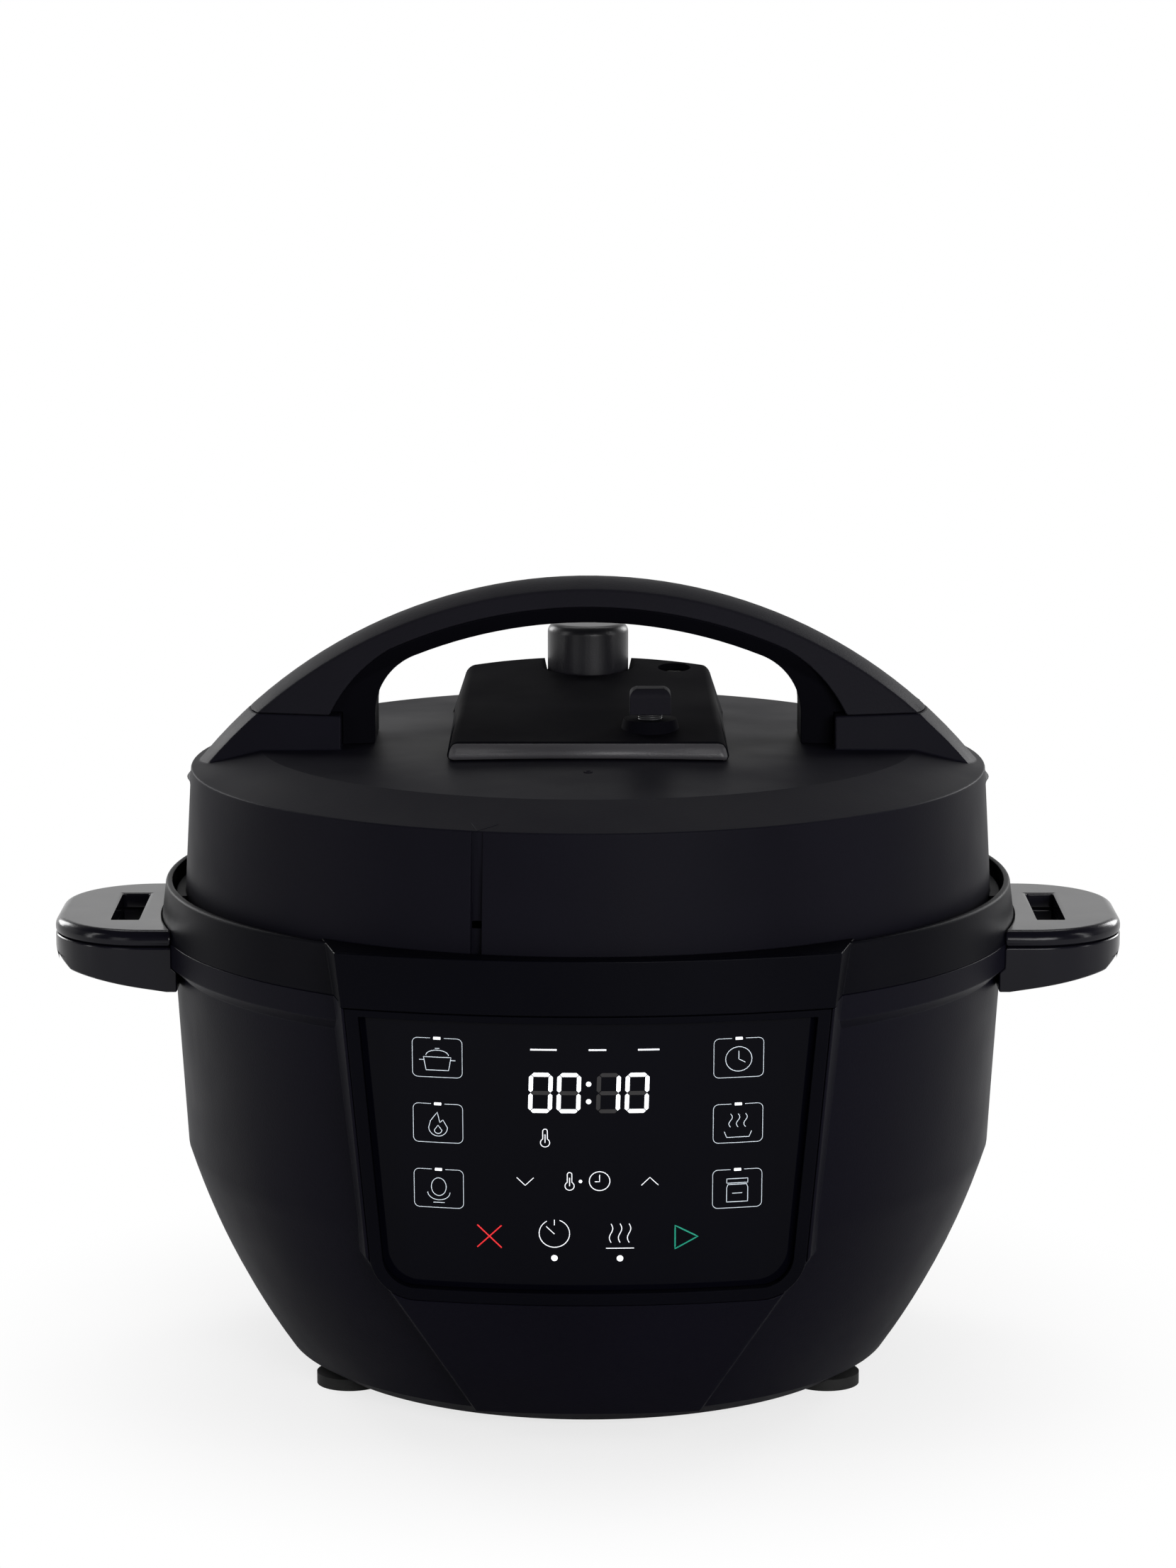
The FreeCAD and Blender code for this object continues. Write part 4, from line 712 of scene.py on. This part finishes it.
def bar_outline(kind, left):
    """The six corners of one bar of a digit."""
    right, top = left + DIGIT_WIDE, DIGIT_TOP
    middle, foot = top + DIGIT_TALL / 2, top + DIGIT_TALL
    h, g = BAR / 2, BAR_GAP
    lines = {
        "a": (left + h, top + h, right - h, top + h),
        "b": (right - h, top + h, right - h, middle),
        "c": (right - h, middle, right - h, foot - h),
        "d": (left + h, foot - h, right - h, foot - h),
        "e": (left + h, middle, left + h, foot - h),
        "f": (left + h, top + h, left + h, middle),
        "g": (left + h, middle, right - h, middle),
    }
    x0, y0, x1, y1 = lines[kind]
    if kind in "adg":
        corners = [(x0 + g, y0), (x0 + g + h, y0 - h), (x1 - g - h, y0 - h),
                   (x1 - g, y0), (x1 - g - h, y0 + h), (x0 + g + h, y0 + h)]
    else:
        corners = [(x0, y0 + g), (x0 + h, y0 + g + h), (x0 + h, y1 - g - h),
                   (x0, y1 - g), (x0 - h, y1 - g - h), (x0 - h, y0 + g + h)]
    return [(x + (middle - y) * SLANT, y) for x, y in corners]


def lay_plate(name, outline):
    """A flat plate laid on the pane, made from a filled circle of as many corners."""
    bpy.ops.object.select_all(action="DESELECT")
    bpy.ops.mesh.primitive_circle_add(vertices=len(outline), fill_type="NGON")
    plate = bpy.context.object
    plate.name = name
    for vertex, (x, y) in zip(plate.data.vertices, outline):
        vertex.co = on_glass(x, y, PLATE_LIFT)
    bpy.ops.object.mode_set(mode="EDIT")
    bpy.ops.mesh.select_all(action="SELECT")
    bpy.ops.mesh.extrude_region_move(TRANSFORM_OT_translate={"value": (0, PLATE_THICK, 0)})
    bpy.ops.mesh.select_all(action="SELECT")
    bpy.ops.mesh.normals_make_consistent(inside=False)
    bpy.ops.object.mode_set(mode="OBJECT")
    return plate


def join_plates(name, plates, finish):
    """Join plates into one piece of the panel."""
    bpy.ops.object.select_all(action="DESELECT")
    for plate in plates:
        plate.select_set(True)
    bpy.context.view_layer.objects.active = plates[0]
    bpy.ops.object.join()
    piece = bpy.context.object
    piece.name = name
    piece.data.materials.clear()
    piece.data.materials.append(finish)
    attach(piece, "base")
    return piece


on, off = [], []
for left, shown in zip(DIGIT_LEFT, SHOWN):
    for kind in "abcdefg":
        plates = on if kind in shown else off
        plates.append(lay_plate("bar", bar_outline(kind, left)))
for y in COLON_ROWS:
    outline = arc(COLON_X, y, COLON_RADIUS, 0, DOT_END, 1.0, DOT_STEPS)
    on.append(lay_plate("colon_dot", outline))
join_plates("clock_bars", on, digit_light)
join_plates("clock_bars_off", off, unlit_digit)
print("clock has", len(on), "lit plates")

# %% [markdown]
# The rest of the panel is a row of marks for the cooking stage, a thermometer, the
# arrows for setting time and heat, and the stop, timer, keep-warm and start signs.

# %% Panel signs
STAGE_ROW = 10.0


def thermometer(x, y, tall):
    """A bulb with a stem above it."""
    r = tall * 0.17
    bulb = arc(x, y + tall / 2 - r * 1.4, r * 1.4, 60, -240, 1.0, 16)
    stem = arc(x, y - tall / 2 + r * 0.7, r * 0.7, 180, 0, 1.0, 8)
    return [(bulb + stem, True), ([(x, y - tall * 0.2), (x, y + tall / 2 - r * 1.4)], False)]


signs = thermometer(-13.7, 40.4, 6.2) + thermometer(-5.9, 55.4, 6.2)
signs += [
    ([(-22.8, 54.3), (-20.1, 57.0), (-17.4, 54.3)], False),
    ([(17.1, 56.9), (19.8, 54.2), (22.5, 56.9)], False),
    (arc(3.7, 55.3, 3.3, 0, 360, 1.0, 26), True),
    ([(3.7, 53.1), (3.7, 55.5), (2.2, 55.5)], False),
    (arc(-10.8, 73.7, 4.9, 70, -240, 1.0, 30), False),
    ([(-10.8, 68.9), (-10.8, 70.8)], False),
    ([(-13.4, 71.3), (-10.8, 73.9)], False),
    (wave(7.4, 73.6, 6.6), False),
    (wave(10.3, 73.6, 6.6), False),
    (wave(13.2, 73.6, 6.6), False),
    ([(5.8, 78.9), (14.8, 78.9)], False),
]
stage_marks = []
for x, half in ((-14.1, 4.2), (3.0, 2.8), (19.2, 3.4)):
    stage_marks.append(([(x - half, STAGE_ROW), (x + half, STAGE_ROW)], False))
print_strokes("panel_signs", signs, 0.30, white_print)
print_strokes("stage_marks", stage_marks, 0.62, white_print)
dot_plates = []
for x, y, radius in ((-2.4, 55.4, 0.55), (-10.8, 82.4, 1.05), (10.3, 82.5, 1.05)):
    dot_plates.append(lay_plate("dot", arc(x, y, radius, 0, DOT_END, 1.0, DOT_STEPS)))
join_plates("panel_dots", dot_plates, digit_light)
print_strokes("stop_sign", [
    ([(-35.6, 71.3), (-27.8, 79.1)], False),
    ([(-27.8, 71.3), (-35.6, 79.1)], False),
], 0.5, red_print)
print_strokes("start_sign", [([(28.0, 71.3), (35.3, 75.4), (28.0, 79.5)], True)], 0.5, green_print)
print("panel signs drawn")

# %% [markdown]
# The lid tells how it is closed. An open arrow is moulded where the groove in the
# lid's wall meets the shoulder, two short bars on the rim stand beside it, and a
# small blind hole marks the middle of the lid in front of the valve deck.

# %% Lid marks
SHOULDER = (0.1354, 0.2086)
CONE_SLOPE = 6.8 / 23.2
MARK_ANGLE = math.radians(-90 - 15)
GROOVE_BACK, BACKING_HEIGHT = 0.1343, 0.1692
BACKING_SIZE = (0.0008, 0.005, 0.016)
ARROW_ENDS, ARROW_FOOT, ARROW_LONG, ARROW_STEPS = (-3.2, 5.4), 0.4, 4.8, 4
RIM_RADIUS, RIM_MARK_HEIGHT = 0.1433, 0.1698
RIM_BARS, RIM_BAR_POINTS = (-39.0, -25.0), (-1.6, 0, 1.6)
HOLE_PLACE, HOLE_RADIUS, HOLE_LIP = (0, -0.071, 0.2171), 0.0012, 0.0004


def on_cone(across, inward):
    """A point on the lid's sloping ring, from millimetres beside and inside the mark."""
    radius = SHOULDER[0] - inward * MM
    angle = MARK_ANGLE + across * MM / radius
    height = SHOULDER[1] + inward * MM * CONE_SLOPE
    return Vector((radius * math.cos(angle), radius * math.sin(angle), height))


arrow = []
for end in ARROW_ENDS:
    chain = []
    for k in range(ARROW_STEPS + 1):
        chain.append(on_cone(end * k / ARROW_STEPS, ARROW_FOOT + ARROW_LONG * k / ARROW_STEPS))
    arrow.append((chain, False))
lay_strokes("closing_arrow", arrow, 0.3, grained_black, "lid")
bars = []
for x in RIM_BARS:
    chain = []
    for offset in RIM_BAR_POINTS:
        side = x * MM + offset * MM
        chain.append(Vector((side, -math.sqrt(RIM_RADIUS ** 2 - side ** 2), RIM_MARK_HEIGHT)))
    bars.append((chain, False))
lay_strokes("rim_bars", bars, 0.8, header_black, "base")
bpy.ops.object.select_all(action="DESELECT")
bpy.ops.mesh.primitive_torus_add(
    location=HOLE_PLACE, major_radius=HOLE_RADIUS, minor_radius=HOLE_LIP,
    major_segments=32, minor_segments=10)
bpy.ops.object.transform_apply(location=True, rotation=True, scale=True)
ring = bpy.context.object
ring.name = "middle_mark"
ring.data.materials.append(grained_black)
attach(ring, "lid")
bpy.ops.object.select_all(action="DESELECT")
bpy.ops.mesh.primitive_cube_add(size=1.0)
backing = bpy.context.object
backing.name = "groove_backing"
backing.scale = BACKING_SIZE
backing.rotation_euler = (0, 0, MARK_ANGLE)
backing.location = (
    GROOVE_BACK * math.cos(MARK_ANGLE), GROOVE_BACK * math.sin(MARK_ANGLE), BACKING_HEIGHT)
bpy.ops.object.transform_apply(location=True, rotation=True, scale=True)
backing.data.materials.append(lid_black)
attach(backing, "lid")
print("lid marks made")

# %% [markdown]
# The solid model has a plain sleeve for each spring. A real one is wire wound on a
# mandrel, so each sleeve is replaced by an evenly wound coil of its own size.

# %% Springs
# Each spring: its node, the joint that presses it, travel, turns, wire, finish.
SPRINGS = (
    ("sensor_spring", "sensor_plunge", 0.003, 5, 1.1, steel),
    ("button_spring", "quick_release", 0.0015, 4, 0.7, component_black),
)
STEPS_A_TURN = 24
for name, joint, travel, turns, wire, finish in SPRINGS:
    low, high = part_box(name)
    centre = (low + high) / 2
    length = high.z - low.z
    radius = (high.x - low.x) / 2 - wire * MM / 2
    height = length - wire * MM
    chain = []
    for k in range(turns * STEPS_A_TURN + 1):
        angle = 2 * math.pi * k / STEPS_A_TURN
        rise = height * k / (turns * STEPS_A_TURN) + wire * MM / 2
        chain.append(Vector((
            centre.x + radius * math.cos(angle), centre.y + radius * math.sin(angle),
            low.z + rise)))
    coil = lay_strokes(name + "_coil", [(chain, False)], wire, finish, nodes[name]["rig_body"])
    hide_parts(name)
    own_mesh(coil)
    print(name, "is", round(length / MM, 1), "mm long,", round(2 * radius / MM, 1), "mm across")
